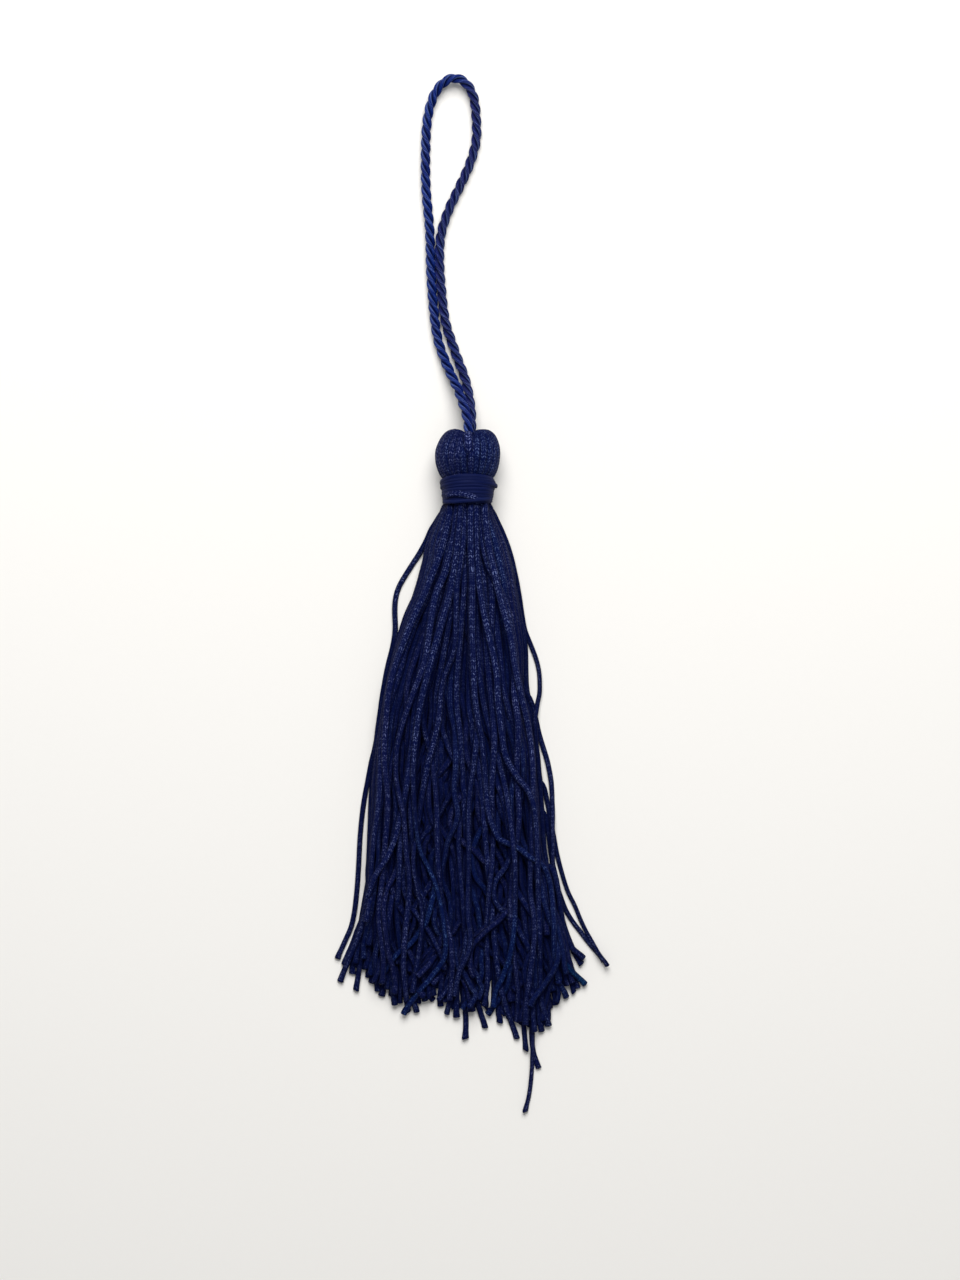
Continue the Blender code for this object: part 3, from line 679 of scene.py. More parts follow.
skirtSettings = {
    "count": 156,
    "baseCount": 50,       # strands that lie evenly on the surface
    "faceCount": 15,       # loose strands on top of the heap
    "seed": 7,
    "width": 1.12,
    "thickness": 0.66,
    "sides": 10,
    "spacing": 0.6,
    "rowStep": 0.5,
    "firstDown": 6.2,
    "lastDown": 91.4,
    "pitch": 0.98,         # room that a strand takes sideways in the heap
    "rise": 0.69,          # and upwards
    "rim": (0.78, 0.92),   # where the neck's rim begins and ends, from its middle
    "rimGirth": 0.88,      # girth in the neck, at its rim and in its middle, where the strands are pressed
    "coreGirth": 0.50,
    "pressedTo": 6.5,      # how far down they are pressed, and at their full girth again
    "rimFull": 9.0,
    "coreFull": 14.0,
    "strays": ("leftBow", "leftEdge", "leftTipB", "rightBow", "rightEdge", "rightCorner", "rightCornerB",
               "longTail", "shortTail"),
    "strayGirth": 0.74,    # how thin they are against the rest
    # from here on, many rows begin with down from and down to
    "evenFrom": (30.0, 60.0, 0.6),    # and how much less the strands' girths differ there
    "taper": (20.0, 60.0, 0.74),      # and the girth of the looser and thinner lower part
    "neckHalf": (2.68, 2.30),
    "neckHeight": 3.45,
    "heldTo": 6.9,         # how far down the neck holds every strand in its place
    "freeFrom": 7.0,       # and from where they fall to the surface, and push each other apart
    "fallOver": (5.0, 3.6),           # how far the lowest take to reach it, and more for each mm of height
    "fanOver": (5.4, 14.0),           # down over which they spread to their lanes
    "keepNeck": (9.0, 0.15),          # down to, and how hard they are pulled there
    "gather": (22.0, 44.0, 0.3),      # and how much nearer the middle the upper strands lie above that
    "waves": (((6.0, 10.0), (0.05, 0.26)), ((11.0, 18.0), (0.25, 0.75)), ((22.0, 40.0), (0.40, 1.20))),
    "wavesFrom": (9.0, 34.0),         # down over which the waves grow
    "wavesMore": (36.0, 62.0, 1.3),   # and grow again, by this share
    "waveAtEdge": 0.25,               # how large they stay at the skirt's edges
    "squash": 1.15,                   # higher bunches the waving strands more at the edges
    "slackOver": (20.0, 44.0, 4.0),   # and how much further a strand may leave its lane above that
    "route": (0.45, 0.35, 9.0),       # pull to a known course, room beside it, and how far above that begins
    "lanePull": 0.06,                 # and the pull above a known course
    # the strands without one, in the base, the middle and the face
    "wave": (0.10, 1.0, 1.2),
    "pull": (0.45, 0.08, 0.10),                     # how hard they keep their lane
    "shadeShare": ((0.5, 0.9), (0.1, 0.9), (0.0, 0.2)),   # how much painted shade they get, which also dims their painted highlights
    "shadeShareMore": (0.0, 0.0, 0.35),                     # and every second one more
    "trim": (1.8, 6.5, 7.0),                        # how much shorter than the hem they may be
    "gathers": (0.0, 1.0, 1.0),
    "slack": (0.15, 9.0, 9.0),                      # how far they may stray from their lane
    "rounds": 260,
    "roundFrom": (1.5, 6.5, 0.42),    # height from, height to, how much nearer to the middle
    "roundUpTo": (30.0, 52.0),        # down over which that ends, where the skirt lies flatter
    "smoothing": ((1, 0.25), (5, 0.10)),    # rows apart, and how much of a bend goes in each round
    "near": (1.35, 1.10),             # strands this near, sideways and upwards, are kept apart
    "push": 0.32,
    "drop": 0.022,
    # down, and how much higher the loose heap stands than a pressed one
    "loft": ((20.0, 1.0), (30.0, 1.2), (38.0, 1.5), (47.0, 2.1), (56.0, 2.4), (64.0, 2.4), (70.0, 2.1),
             (76.0, 1.7), (82.0, 1.2), (92.0, 1.0)),
    "loftRows": 4,                    # rows to each side over which that is evened out
    "namedShadeShare": (0.1, 0.45, 0.75),   # painted shade on a named strand on top, below, and from which level
    "shadeShareFrom": (16.0, 40.0),         # down from which the deeper strands get that painted shade
    "shadeShareSwing": 0.15,
    "overBy": (0.10, 0.45),           # a strand this much higher casts painted shade on those below, and fully at more
    "crowdReach": 1.15,
    "crowdShare": 0.75,
    "crowdFrom": (12.0, 36.0, 0.3),   # down over which that painted shade grows, with its share above that
    "tipShade": (24.0, 66.0, 0.20),   # and how much painted shade the looser yarn further down gets
    "flareOver": 1.1,
    "flare": (0.1, 0.32),
    "roll": (0.3, 1.0),
    # the rounded tip: how far on, and its share of the girth
    "tip": ((0.07, 0.86), (0.12, 0.5), (0.13, 0.0)),
    "neckTone": (0.35, 8.0),          # tone above a known course, and how far it takes to the strand's own
    "edges": (             # down, left edge, right edge
        (6.2, -3.1, 3.1), (7.0, -3.7, 3.5), (8.2, -4.4, 4.15), (9.4, -4.9, 4.6), (12.2, -5.9, 5.75),
        (14.5, -6.2, 6.3), (17.4, -6.9, 6.9), (20.0, -7.7, 7.3), (22.5, -9.0, 7.6), (27.1, -10.4, 8.0),
        (30.0, -11.0, 7.9), (33.0, -11.6, 7.6), (36.5, -12.2, 7.9), (39.5, -12.7, 8.9), (46.5, -13.5, 9.9),
        (54.0, -13.9, 10.3), (60.0, -14.1, 11.2), (66.0, -15.0, 13.6), (72.0, -16.4, 15.4),
        (92.0, -18.0, 18.0),
    ),
    "hemAt": 74.0,         # down where a strand's place decides which part of the hem it reaches
    "hem": (               # across, down
        (-18.1, 69.9), (-13.5, 72.5), (-10.0, 75.4), (-7.5, 76.8), (-5.0, 75.5), (-1.0, 77.6), (3.0, 77.3),
        (8.0, 79.8), (10.1, 79.1), (12.8, 75.0), (15.6, 72.9), (19.0, 69.4),
    ),
}

# strands with a known course: place across the neck (-1 to 1), level (how high it lies, 0 to 1), tone,
# and the route, down and across, that ends at the cut tip
namedStrands = {
    "leftBow": (-0.98, 0.55, 0.35, ((7.3, -3.0), (8.4, -3.7), (10.4, -5.1), (11.8, -5.6), (13.5, -6.5),
        (15.0, -7.5), (16.5, -8.5), (17.9, -9.4), (19.2, -9.95), (20.8, -10.15), (22.2, -10.1),
        (24.3, -9.95), (26.5, -10.3), (30.0, -11.2), (42.4, -12.9), (52.0, -13.5), (60.0, -13.6),
        (66.0, -14.8), (70.1, -16.5))),
    "leftEdge": (-0.95, 0.3, 0.25, ((30.0, -10.5), (42.4, -13.2), (47.9, -14.35), (52.8, -14.9),
        (56.9, -15.1), (61.1, -15.4), (65.3, -16.0), (67.5, -17.0), (69.9, -18.1))),
    "leftTipB": (-0.9, 0.45, 0.2, ((50.0, -13.4), (58.0, -13.7), (62.0, -13.9), (66.0, -15.2),
        (70.8, -17.2))),
    "leftCross": (-0.55, 0.97, 0.3, ((40.0, -7.6), (48.0, -8.8), (53.5, -10.1), (55.6, -11.0),
        (57.0, -11.9), (58.4, -12.9), (59.8, -13.4), (63.0, -14.1), (66.0, -14.7), (70.0, -16.5),
        (73.1, -17.7))),
    "leftTipC": (-0.8, 0.4, 0.3, ((56.0, -13.2), (62.0, -14.2), (68.0, -15.4), (72.0, -16.0))),
    "leftLong": (-0.7, 0.6, 0.25, ((52.0, -12.2), (60.0, -13.4), (66.0, -14.1), (70.1, -14.8),
        (74.3, -15.5))),
    "leftTipD": (-0.72, 0.25, 0.3, ((56.0, -12.0), (64.0, -13.0), (72.5, -13.7))),
    "leftTipE": (-0.62, 0.3, 0.45, ((56.0, -11.4), (64.0, -12.3), (72.3, -12.8))),
    "leftTipF": (-0.3, 0.93, 0.78, ((50.0, -4.4), (58.0, -4.2), (63.9, -5.4), (66.0, -6.3), (67.4, -7.4),
        (68.7, -9.0), (69.6, -10.3), (71.2, -11.3), (73.3, -12.0))),
    "leftTipG": (-0.55, 0.3, 0.45, ((58.0, -10.4), (66.0, -10.9), (73.4, -11.2))),
    "leftTipH": (-0.5, 0.6, 0.55, ((56.0, -10.6), (64.0, -11.0), (70.0, -10.9), (73.0, -10.6),
        (76.3, -10.1))),
    "tealCross": (-0.35, 0.985, 0.74, ((44.0, -7.6), (50.0, -7.3), (54.9, -6.6), (57.0, -5.5), (59.0, -4.5),
        (61.8, -3.8), (66.0, -3.1), (69.9, -3.1), (72.3, -4.9), (74.3, -6.6), (76.1, -8.0), (77.6, -8.9))),
    "leftDown": (-0.45, 0.85, 0.75, ((58.0, -9.4), (64.0, -9.8), (68.8, -9.2), (72.0, -8.9), (75.7, -8.5),
        (77.3, -8.2))),
    "midTipA": (-0.33, 0.92, 0.4, ((50.0, -7.9), (59.0, -7.3), (61.1, -6.3), (62.5, -5.8), (66.0, -6.0),
        (68.8, -6.6), (72.2, -7.0), (75.4, -7.6), (77.3, -7.0))),
    "midTipB": (-0.2, 0.5, 0.6, ((60.0, -6.0), (68.0, -5.8), (75.7, -5.9))),
    "midTipC": (-0.15, 0.35, 0.3, ((60.0, -4.9), (68.0, -4.7), (75.0, -4.8))),
    "midTipD": (-0.1, 0.6, 0.3, ((60.0, -3.8), (68.0, -3.6), (76.5, -3.7))),
    "midTipE": (0.0, 0.9, 0.45, ((58.0, 0.3), (66.0, 0.0), (71.5, -1.0), (75.0, -2.2), (77.6, -2.9))),
    "midTipF": (-0.02, 0.45, 0.3, ((60.0, -1.9), (68.0, -1.6), (78.0, -1.5))),
    "midLong": (0.03, 0.55, 0.2, ((60.0, -1.0), (68.0, -0.6), (75.7, -0.35), (78.5, -0.2), (81.0, -0.3))),
    "midTipG": (0.05, 0.75, 0.35, ((58.0, -1.0), (66.0, -0.3), (72.9, 0.4), (76.4, 1.5), (79.5, 2.5))),
    "blueCross": (0.25, 0.95, 0.8, ((56.0, 6.6), (64.0, 6.5), (68.1, 6.2), (70.8, 5.6), (72.9, 4.6),
        (74.5, 3.9), (76.6, 3.6))),
    "midTipH": (0.15, 0.5, 0.3, ((60.0, 3.6), (70.0, 4.1), (78.8, 4.5))),
    "midTipI": (0.22, 0.8, 0.35, ((60.0, 3.2), (68.0, 3.8), (73.6, 4.5), (76.4, 5.2), (78.8, 6.1),
        (81.0, 6.9))),
    "rightTipA": (0.35, 0.45, 0.3, ((62.0, 6.4), (72.0, 7.2), (82.6, 8.1))),
    "longTail": (0.42, 0.25, 0.15, ((50.0, 7.0), (65.0, 8.3), (75.0, 8.8), (79.0, 9.05), (81.9, 9.05),
        (84.0, 9.05), (86.1, 8.9), (88.2, 8.7), (89.6, 8.4), (91.1, 8.0))),
    "shortTail": (0.46, 0.15, 0.15, ((50.0, 8.0), (65.0, 9.2), (75.0, 9.1), (80.0, 8.9), (82.5, 9.0),
        (83.6, 9.3), (85.1, 9.9))),
    "rightTipB": (0.5, 0.7, 0.4, ((62.0, 7.7), (72.0, 8.6), (80.0, 9.3))),
    "rightTipC": (0.55, 0.6, 0.4, ((62.0, 8.6), (72.0, 9.4), (76.5, 9.9), (80.0, 10.3))),
    "highCross": (0.3, 0.995, 0.38, ((34.0, 4.2), (39.0, 4.8), (42.1, 5.3), (45.1, 7.2), (46.5, 8.6),
        (49.0, 9.3), (56.0, 9.7), (68.0, 10.0), (75.7, 10.2), (77.4, 10.7), (79.2, 11.25))),
    "rightTipD": (0.7, 0.4, 0.3, ((60.0, 10.2), (70.0, 11.3), (76.3, 12.3))),
    "rightCross": (0.2, 1.0, 0.6, ((44.0, 2.4), (50.0, 3.0), (53.1, 3.9), (53.6, 5.0), (54.1, 6.2),
        (54.7, 7.4), (55.4, 8.5), (56.1, 9.5), (56.7, 10.6), (58.6, 11.4), (64.0, 11.9), (72.3, 12.3),
        (75.3, 13.8))),
    "rightBow": (0.98, 0.6, 0.3, ((7.3, 3.0), (8.4, 3.7), (12.2, 5.4), (18.0, 6.8), (24.0, 7.8),
        (26.4, 8.8), (27.8, 9.4), (29.7, 9.95), (31.9, 10.1), (33.3, 10.05), (34.7, 9.65), (37.0, 9.3),
        (44.0, 9.9), (56.0, 10.8), (68.0, 12.9), (74.6, 14.8))),
    "rightEdge": (0.95, 0.4, 0.3, ((34.0, 9.0), (38.0, 9.7), (39.7, 10.2), (42.1, 11.0), (43.8, 11.4),
        (45.8, 11.7), (50.7, 11.8), (54.2, 11.8), (57.6, 11.85), (61.8, 11.8), (66.0, 12.6), (70.0, 14.0),
        (74.0, 15.3))),
    "tealTip": (0.75, 0.8, 1.0, ((56.0, 10.2), (63.0, 11.0), (68.7, 12.2), (70.6, 13.5), (72.2, 14.9),
        (73.5, 16.5))),
    "rightTipE": (0.88, 0.45, 0.35, ((58.0, 12.2), (64.0, 13.0), (68.0, 14.3), (70.7, 15.9))),
    "rightTipF": (0.9, 0.55, 0.3, ((58.0, 12.4), (63.0, 12.9), (66.0, 13.4), (68.1, 14.2), (69.9, 16.2))),
    "rightCorner": (0.93, 0.3, 0.25, ((46.0, 10.8), (54.9, 12.3), (58.1, 13.1), (60.8, 13.95), (62.5, 14.9),
        (64.6, 15.7), (66.7, 16.7), (68.8, 17.9), (70.9, 19.5))),
    "rightGap": (0.93, 0.5, 0.35, ((24.0, 7.7), (27.0, 7.9), (30.5, 8.0), (33.0, 8.2), (36.0, 8.7),
        (38.5, 9.2), (42.0, 9.7), (48.0, 10.1), (56.0, 10.7), (66.0, 12.6), (71.6, 13.4))),
    "topA": (-0.25, 0.97, 0.3, ((18.0, -1.5), (22.9, -1.6), (27.2, -1.8), (31.5, -3.5), (37.0, -4.0),
        (43.4, -5.6), (48.6, -6.5), (56.3, -7.6), (60.0, -7.0), (63.5, -6.2), (68.0, -6.6), (74.5, -7.6))),
    "topB": (0.08, 0.99, 0.35, ((18.0, 0.5), (23.7, 0.55), (31.5, 0.75), (37.0, 1.4), (42.2, 1.0),
        (48.6, 0.15), (56.5, 0.2), (63.6, 0.0), (68.2, 0.5), (71.4, -1.1), (75.0, -1.8))),
    "topC": (0.35, 0.98, 0.3, ((18.0, 2.3), (22.9, 2.5), (29.3, 2.9), (35.7, 3.5), (40.8, 3.75),
        (46.8, 3.3), (53.3, 3.6), (60.0, 3.1), (66.2, 2.6), (72.4, 2.85), (76.4, 2.3))),
    "topD": (-0.55, 0.98, 0.25, ((20.0, -4.6), (25.5, -5.4), (28.5, -5.8), (34.4, -8.0), (40.0, -9.7),
        (45.0, -9.9), (49.5, -8.9), (55.0, -8.5), (60.0, -8.0), (66.0, -8.6), (71.0, -8.9), (75.8, -8.4))),
    "topE": (-0.42, 0.95, 0.25, ((30.0, -5.6), (36.0, -6.4), (42.0, -5.0), (48.0, -4.3), (56.4, -4.1),
        (62.1, -3.6), (67.7, -2.3), (71.3, -2.05), (75.6, -2.5))),
    "topF": (0.75, 0.96, 0.3, ((28.0, 6.3), (33.0, 7.3), (37.0, 8.3), (41.2, 8.9), (46.8, 9.1), (54.0, 8.9),
        (61.0, 8.7), (65.1, 9.4), (70.3, 8.9), (75.6, 8.2), (79.0, 8.0))),
    "topG": (0.68, 0.94, 0.25, ((22.0, 5.6), (28.0, 6.6), (33.2, 6.5), (37.9, 7.1), (44.0, 6.8),
        (50.0, 7.2), (57.0, 6.4), (63.0, 5.9), (69.0, 6.4), (75.0, 7.1), (78.6, 6.8))),
    "topH": (-0.85, 0.93, 0.2, ((22.0, -7.2), (26.3, -8.9), (31.5, -10.6), (37.0, -11.3), (42.4, -11.5),
        (48.0, -11.0), (54.0, -11.4), (60.0, -11.9), (64.1, -12.3), (69.8, -11.6), (73.2, -11.8))),
    "rightCornerB": (0.91, 0.2, 0.3, ((50.0, 11.0), (56.0, 11.7), (60.8, 12.6), (64.0, 14.0), (66.5, 15.9),
        (68.1, 17.2), (70.4, 19.1))),
}


def neckSlots(count):
    # places for every strand over the oval of the neck, evenly spread
    turns = [index * math.pi * (3.0 - math.sqrt(5.0)) for index in range(count)]
    reaches = [math.sqrt((index + 0.5) / count) for index in range(count)]
    return [(reach * math.cos(turn), reach * math.sin(turn)) for reach, turn in zip(reaches, turns)]


def planStrands(settings, named):
    draws = random.Random(settings["seed"])
    slots = neckSlots(settings["count"])
    plans = []
    ordered = sorted(named, key=lambda name: named[name][0])
    onTop, below, topFrom = settings["namedShadeShare"]
    for name, (place, level, tone, route) in named.items():
        height = (2.0 * level - 1.0) * math.sqrt(max(0.02, 1.0 - place * place))
        best = min(slots, key=lambda slot: (slot[0] - place) ** 2 + 0.5 * (slot[1] - height) ** 2)
        slots.remove(best)
        stray = name in settings["strays"]
        # the named tone shows only where the course is known
        plans.append({
            "slot": best, "tone": tone, "toneFrom": route[0][0] + 4.0, "route": route, "level": level,
            "shadeShare": onTop if level > topFrom or stray else below, "gather": 1.0,
            "girth": settings["strayGirth"] if stray else 1.0,
            "lane": 2.0 * (ordered.index(name) + 0.5) / len(ordered) - 1.0,
        })
    slots.sort(key=lambda slot: slot[1])
    base, face = settings["baseCount"], len(slots) - settings["faceCount"]
    for layer, group in enumerate((slots[:base], slots[base:face], slots[face:])):
        wave, pull, shadeShare, shadeShareMore, trim, gathers, slack = (
            settings[label][layer] for label in ("wave", "pull", "shadeShare", "shadeShareMore", "trim", "gathers", "slack")
        )
        for rank, slot in enumerate(sorted(group, key=lambda slot: slot[0])):
            aside = draws.uniform(-0.25, 0.25) * min(1.0, 2.0 * wave)
            waves = [(draws.uniform(*lengths), draws.uniform(0.0, math.tau), wave * draws.uniform(*sizes))
                     for lengths, sizes in settings["waves"]]
            plans.append({
                "slot": slot, "tone": 0.1 + 0.65 * draws.random() ** 1.4, "toneFrom": 0.0, "route": None,
                "lane": 2.0 * (rank + 0.5 + aside) / len(group) - 1.0, "waves": waves, "pull": pull,
                "level": 0.5 + 0.45 * slot[1], "trim": 0.3 + trim * draws.random() ** 1.8,
                "lean": draws.gauss(0.0, 1.6) * wave, "bend": draws.uniform(6.0, 13.0),
                "shadeShare": draws.uniform(*shadeShare) + (rank % 2) * shadeShareMore, "girth": draws.uniform(0.92, 1.04),
                "gather": gathers, "slack": slack,
            })
    return plans


def freeCourse(plan, rows, fan, lane, settings):
    # a strand without a known course waves along its lane
    left, right, middle, half = fan
    neck = plan["slot"][0] * settings["neckHalf"][0]
    spread = smoothStep(rows, *settings["fanOver"])
    wanted = neck * (1.0 - spread) + (middle + lane * half) * spread
    room = 1.0 - np.clip(np.abs(plan["lane"]), 0.0, 1.0) ** 4
    begin, finish, more = settings["wavesMore"]
    atEdge = settings["waveAtEdge"]
    growth = smoothStep(rows, *settings["wavesFrom"]) * (1.0 + more * smoothStep(rows, begin, finish))
    growth = growth * (atEdge + (1.0 - atEdge) * room)
    for length, phase, size in plan["waves"]:
        wanted = wanted + growth * size * np.sin(math.tau * rows / length + phase)
    tip = float(readColumn(settings["hem"], np.interp(settings["hemAt"], rows, wanted), 1)) - plan["trim"]
    wanted = wanted + plan["lean"] * smoothStep(rows, tip - plan["bend"], tip)
    if plan["gather"]:
        # soft limits, so that strands near an edge still differ
        squash = settings["squash"]
        wanted = middle + half * np.tanh((wanted - middle) / half * squash) / math.tanh(squash)
    wanted = np.clip(wanted, left, right)
    begin, finish, more = settings["slackOver"]
    slack = plan["slack"] + more * (1.0 - smoothStep(rows, begin, finish))
    keepTo, keep = settings["keepNeck"]
    limits = (np.maximum(left - 0.1, wanted - slack), np.minimum(right + 0.1, wanted + slack))
    return wanted, np.where(rows < keepTo, keep, plan["pull"]), limits, tip


def knownCourse(plan, rows, fan, lane, settings):
    # a named strand keeps near its course where that is known, and inside the heap above
    left, right, middle, half = fan
    route = plan["route"]
    first = route[0][0]
    smooth, _ = smoothPath([(place, -down, 0.0) for down, place in route], 0.3)
    known = np.interp(rows, -smooth[:, 1], smooth[:, 0])
    share = np.clip((route[0][1] - np.interp(first, rows, middle)) / np.interp(first, rows, half), -1.0, 1.0)
    spread = smoothStep(rows, 6.5, min(first + 2.0, 18.0))
    lane = lane + (share - lane) * smoothStep(rows, min(14.0, first - 1.0), first)
    neck = plan["slot"][0] * settings["neckHalf"][0]
    upper = neck * (1.0 - spread) + (middle + lane * half) * spread
    pull, beside, above = settings["route"]
    share = smoothStep(rows, first - above, first)
    limits = ((left - 0.1) * (1.0 - share) + (known - beside) * share,
              (right + 0.1) * (1.0 - share) + (known + beside) * share)
    pulls = np.where(rows < first - 4.0, settings["lanePull"], pull)
    return np.where(rows < first, upper, known), pulls, limits, float(route[-1][0])


def courseOf(plan, rows, settings):
    # where a strand wants to be at each row, how much it wants it, its limits, and where it ends
    left = readColumn(settings["edges"], rows, 1) + settings["width"] / 2.0
    right = readColumn(settings["edges"], rows, 2) - settings["width"] / 2.0
    fan = (left, right, (left + right) / 2.0, (right - left) / 2.0)
    # further up, more of the strands lie near the middle
    begin, finish, amount = settings["gather"]
    above = 1.0 - smoothStep(rows, begin, finish)
    lane = plan["lane"] * (1.0 - amount * plan["gather"] * (1.0 - plan["lane"] ** 2) * above)
    course = freeCourse if plan["route"] is None else knownCourse
    return course(plan, rows, fan, lane, settings)


def stackStrands(across, pitches, rises, floors, free, alive, order):
    # lays the strands one after another, each on what is under it
    nothing = -9.0
    height = np.full(across.shape, nothing)
    done = []
    for index in order:
        under = floors[index].copy()
        if done:
            gap = (across[index] - across[done]) / (0.5 * (pitches[index] + pitches[done]))
            lift = 0.5 * (rises[index] + rises[done]) * np.sqrt(np.clip(1.0 - gap ** 2, 0.0, 1.0))
            held = np.where((np.abs(gap) < 1.0) & alive[done], height[done] + lift, nothing)
            under = np.maximum(under, held.max(axis=0))
        course = np.maximum(under, free[index])
        for _ in range(12):
            course[1:-1] = np.maximum(under[1:-1], 0.25 * (course[:-2] + course[2:]) + 0.5 * course[1:-1])
        height[index] = course
        done.append(index)
    return height


def strandGirths(settings, plans, slots, rows):
    # pressed thin in the neck, full below it, and thinner again towards the hem
    rim = smoothStep(np.hypot(slots[:, 0], slots[:, 1]), *settings["rim"])[:, None]
    start = settings["coreGirth"] + (settings["rimGirth"] - settings["coreGirth"]) * rim
    full = settings["coreFull"] + (settings["rimFull"] - settings["coreFull"]) * rim
    pressed = settings["pressedTo"]
    girth = start + (1.0 - start) * np.sqrt(np.clip((rows[None, :] - pressed) / (full - pressed), 0.0, 1.0))
    begin, finish, thin = settings["taper"]
    girth *= 1.0 - (1.0 - thin) * smoothStep(rows, begin, finish)
    begin, finish, even = settings["evenFrom"]
    own = np.array([plan["girth"] for plan in plans])[:, None]
    return girth * (1.0 - (1.0 - own) * (1.0 - even * smoothStep(rows, begin, finish)))


def nearPairs(across, height, apart, pitches, rises, near):
    # every two strands that are near each other in a row, as flat indices, with the room that they want
    wide = np.abs(across[:, None] - across[None]) < near[0]
    tall = np.abs(height[:, None] - height[None]) < near[1]
    first, second, row = np.nonzero(wide & tall & apart)
    one, two = first * across.shape[1] + row, second * across.shape[1] + row
    widths = 0.5 * (pitches.ravel()[one] + pitches.ravel()[two])
    return one, two, widths, 0.5 * (rises.ravel()[one] + rises.ravel()[two])


def pushApart(across, height, pairs, settings):
    one, two, widths, depths = pairs
    cosine = (1.0 / np.sqrt(1.0 + np.gradient(across, settings["rowStep"], axis=1) ** 2)).ravel()
    lean = widths / np.minimum(cosine[one], cosine[two])
    flat = (across.ravel()[one] - across.ravel()[two]) / lean
    rising = (height.ravel()[one] - height.ravel()[two]) / depths
    distance = np.sqrt(flat ** 2 + rising ** 2) + 1e-6
    push = np.where(distance < 1.0, (1.0 - distance) / distance, 0.0) * settings["push"]
    for values, move in ((across, 0.5 * push * flat * lean), (height, push * rising * depths)):
        moves = np.bincount(one, move, values.size) - np.bincount(two, move, values.size)
        values += moves.reshape(values.shape)


def settleSkirt(settings, plans):
    # strands fall into a heap: pulled to their courses, kept apart, and kept smooth
    rows = np.arange(settings["firstDown"], settings["lastDown"], settings["rowStep"])
    courses = [courseOf(plan, rows, settings) for plan in plans]
    wanted, pulls, limits, tips = (np.array(values) for values in zip(*courses))
    alive = rows[None, :] <= tips[:, None] + settings["rowStep"]
    slots = np.array([plan["slot"] for plan in plans])
    girth = strandGirths(settings, plans, slots, rows)
    floors = settings["thickness"] * girth / 2.0
    pitches, rises = settings["pitch"] * girth, settings["rise"] * girth
    held, freeFrom = rows < settings["heldTo"], settings["freeFrom"]
    neckX = slots[:, 0:1] * settings["neckHalf"][0]
    neckZ = settings["neckHeight"] + slots[:, 1:2] * settings["neckHalf"][1]
    across = wanted.copy()
    across[:, held] = neckX
    least, more = settings["fallOver"]
    free = neckZ * (1.0 - smoothStep(rows, freeFrom, freeFrom + least + more * neckZ))
    order = list(np.argsort(np.array([plan["level"] for plan in plans])))
    height = stackStrands(across, pitches, rises, floors, free, alive, order)
    height[:, held] = neckZ
    loose = np.array([[plan["route"] is None] for plan in plans], dtype=float)
    squeeze = settings["roundFrom"][2] * loose * (1.0 - smoothStep(rows, *settings["roundUpTo"]))
    once = np.triu(np.ones((len(plans), len(plans)), dtype=bool), 1)[:, :, None]
    apart = once & (rows > freeFrom) & alive[:, None] & alive[None]
    for turn in range(settings["rounds"]):
        across += pulls * (wanted - across)
        height[:, ~held] -= settings["drop"]
        for stride, weight in settings["smoothing"]:
            for values in (across, height):
                bend = 0.5 * (values[:, :-2 * stride] + values[:, 2 * stride:]) - values[:, stride:-stride]
                ends = alive[:, stride:-stride] & alive[:, 2 * stride:]
                values[:, stride:-stride] += weight * np.where(ends, bend, 0.0)
        if turn % 12 == 0:
            pairs = nearPairs(across, height, apart, pitches, rises, settings["near"])
        pushApart(across, height, pairs, settings)
        # the heap is rounded: the higher a strand lies, the nearer it keeps to the middle
        inner = 1.0 - squeeze * smoothStep(height, *settings["roundFrom"][:2])
        across = np.clip(across, limits[:, 0] * inner, limits[:, 1] * inner)
        height = np.maximum(height, floors)
        height[:, held] = neckZ
        across[:, held] = neckX
    return rows, across, height, tips, alive, girth


def heapShade(rows, across, height, alive, shadeShare, settings):
    # painted shade on each strand, 0 to 1, which dims its painted highlights and darkens it: more where
    # higher neighbours crowd it, and in loose yarn
    gap = across[:, None] - across[None]
    least, more = settings["overBy"]
    over = np.clip((height[None] - height[:, None] - least) / more, 0.0, 1.0)
    crowd = (over * np.exp(-(gap / settings["crowdReach"]) ** 2) * alive[None]).sum(axis=1)
    begin, finish, above = settings["crowdFrom"]
    crowd = crowd * (above + (1.0 - above) * smoothStep(rows, begin, finish))
    share = np.clip(crowd * settings["crowdShare"], 0.0, 1.0)
    for _ in range(3):
        share[:, 1:-1] = 0.25 * (share[:, :-2] + share[:, 2:]) + 0.5 * share[:, 1:-1]
    begin, finish, amount = settings["tipShade"]
    return 1.0 - (1.0 - share) * (1.0 - amount * smoothStep(rows, begin, finish)) * (1.0 - shadeShare)


def restOnFloor(points, girths, flatness, settings):
    # an oval strand on the surface lies on it, however it is rolled; flatness is its roll's sine and cosine
    below = girths * np.hypot(settings["width"] * flatness[0], settings["thickness"] * flatness[1]) / 2.0
    points[:, 2] = np.maximum(points[:, 2], below + floorGap)


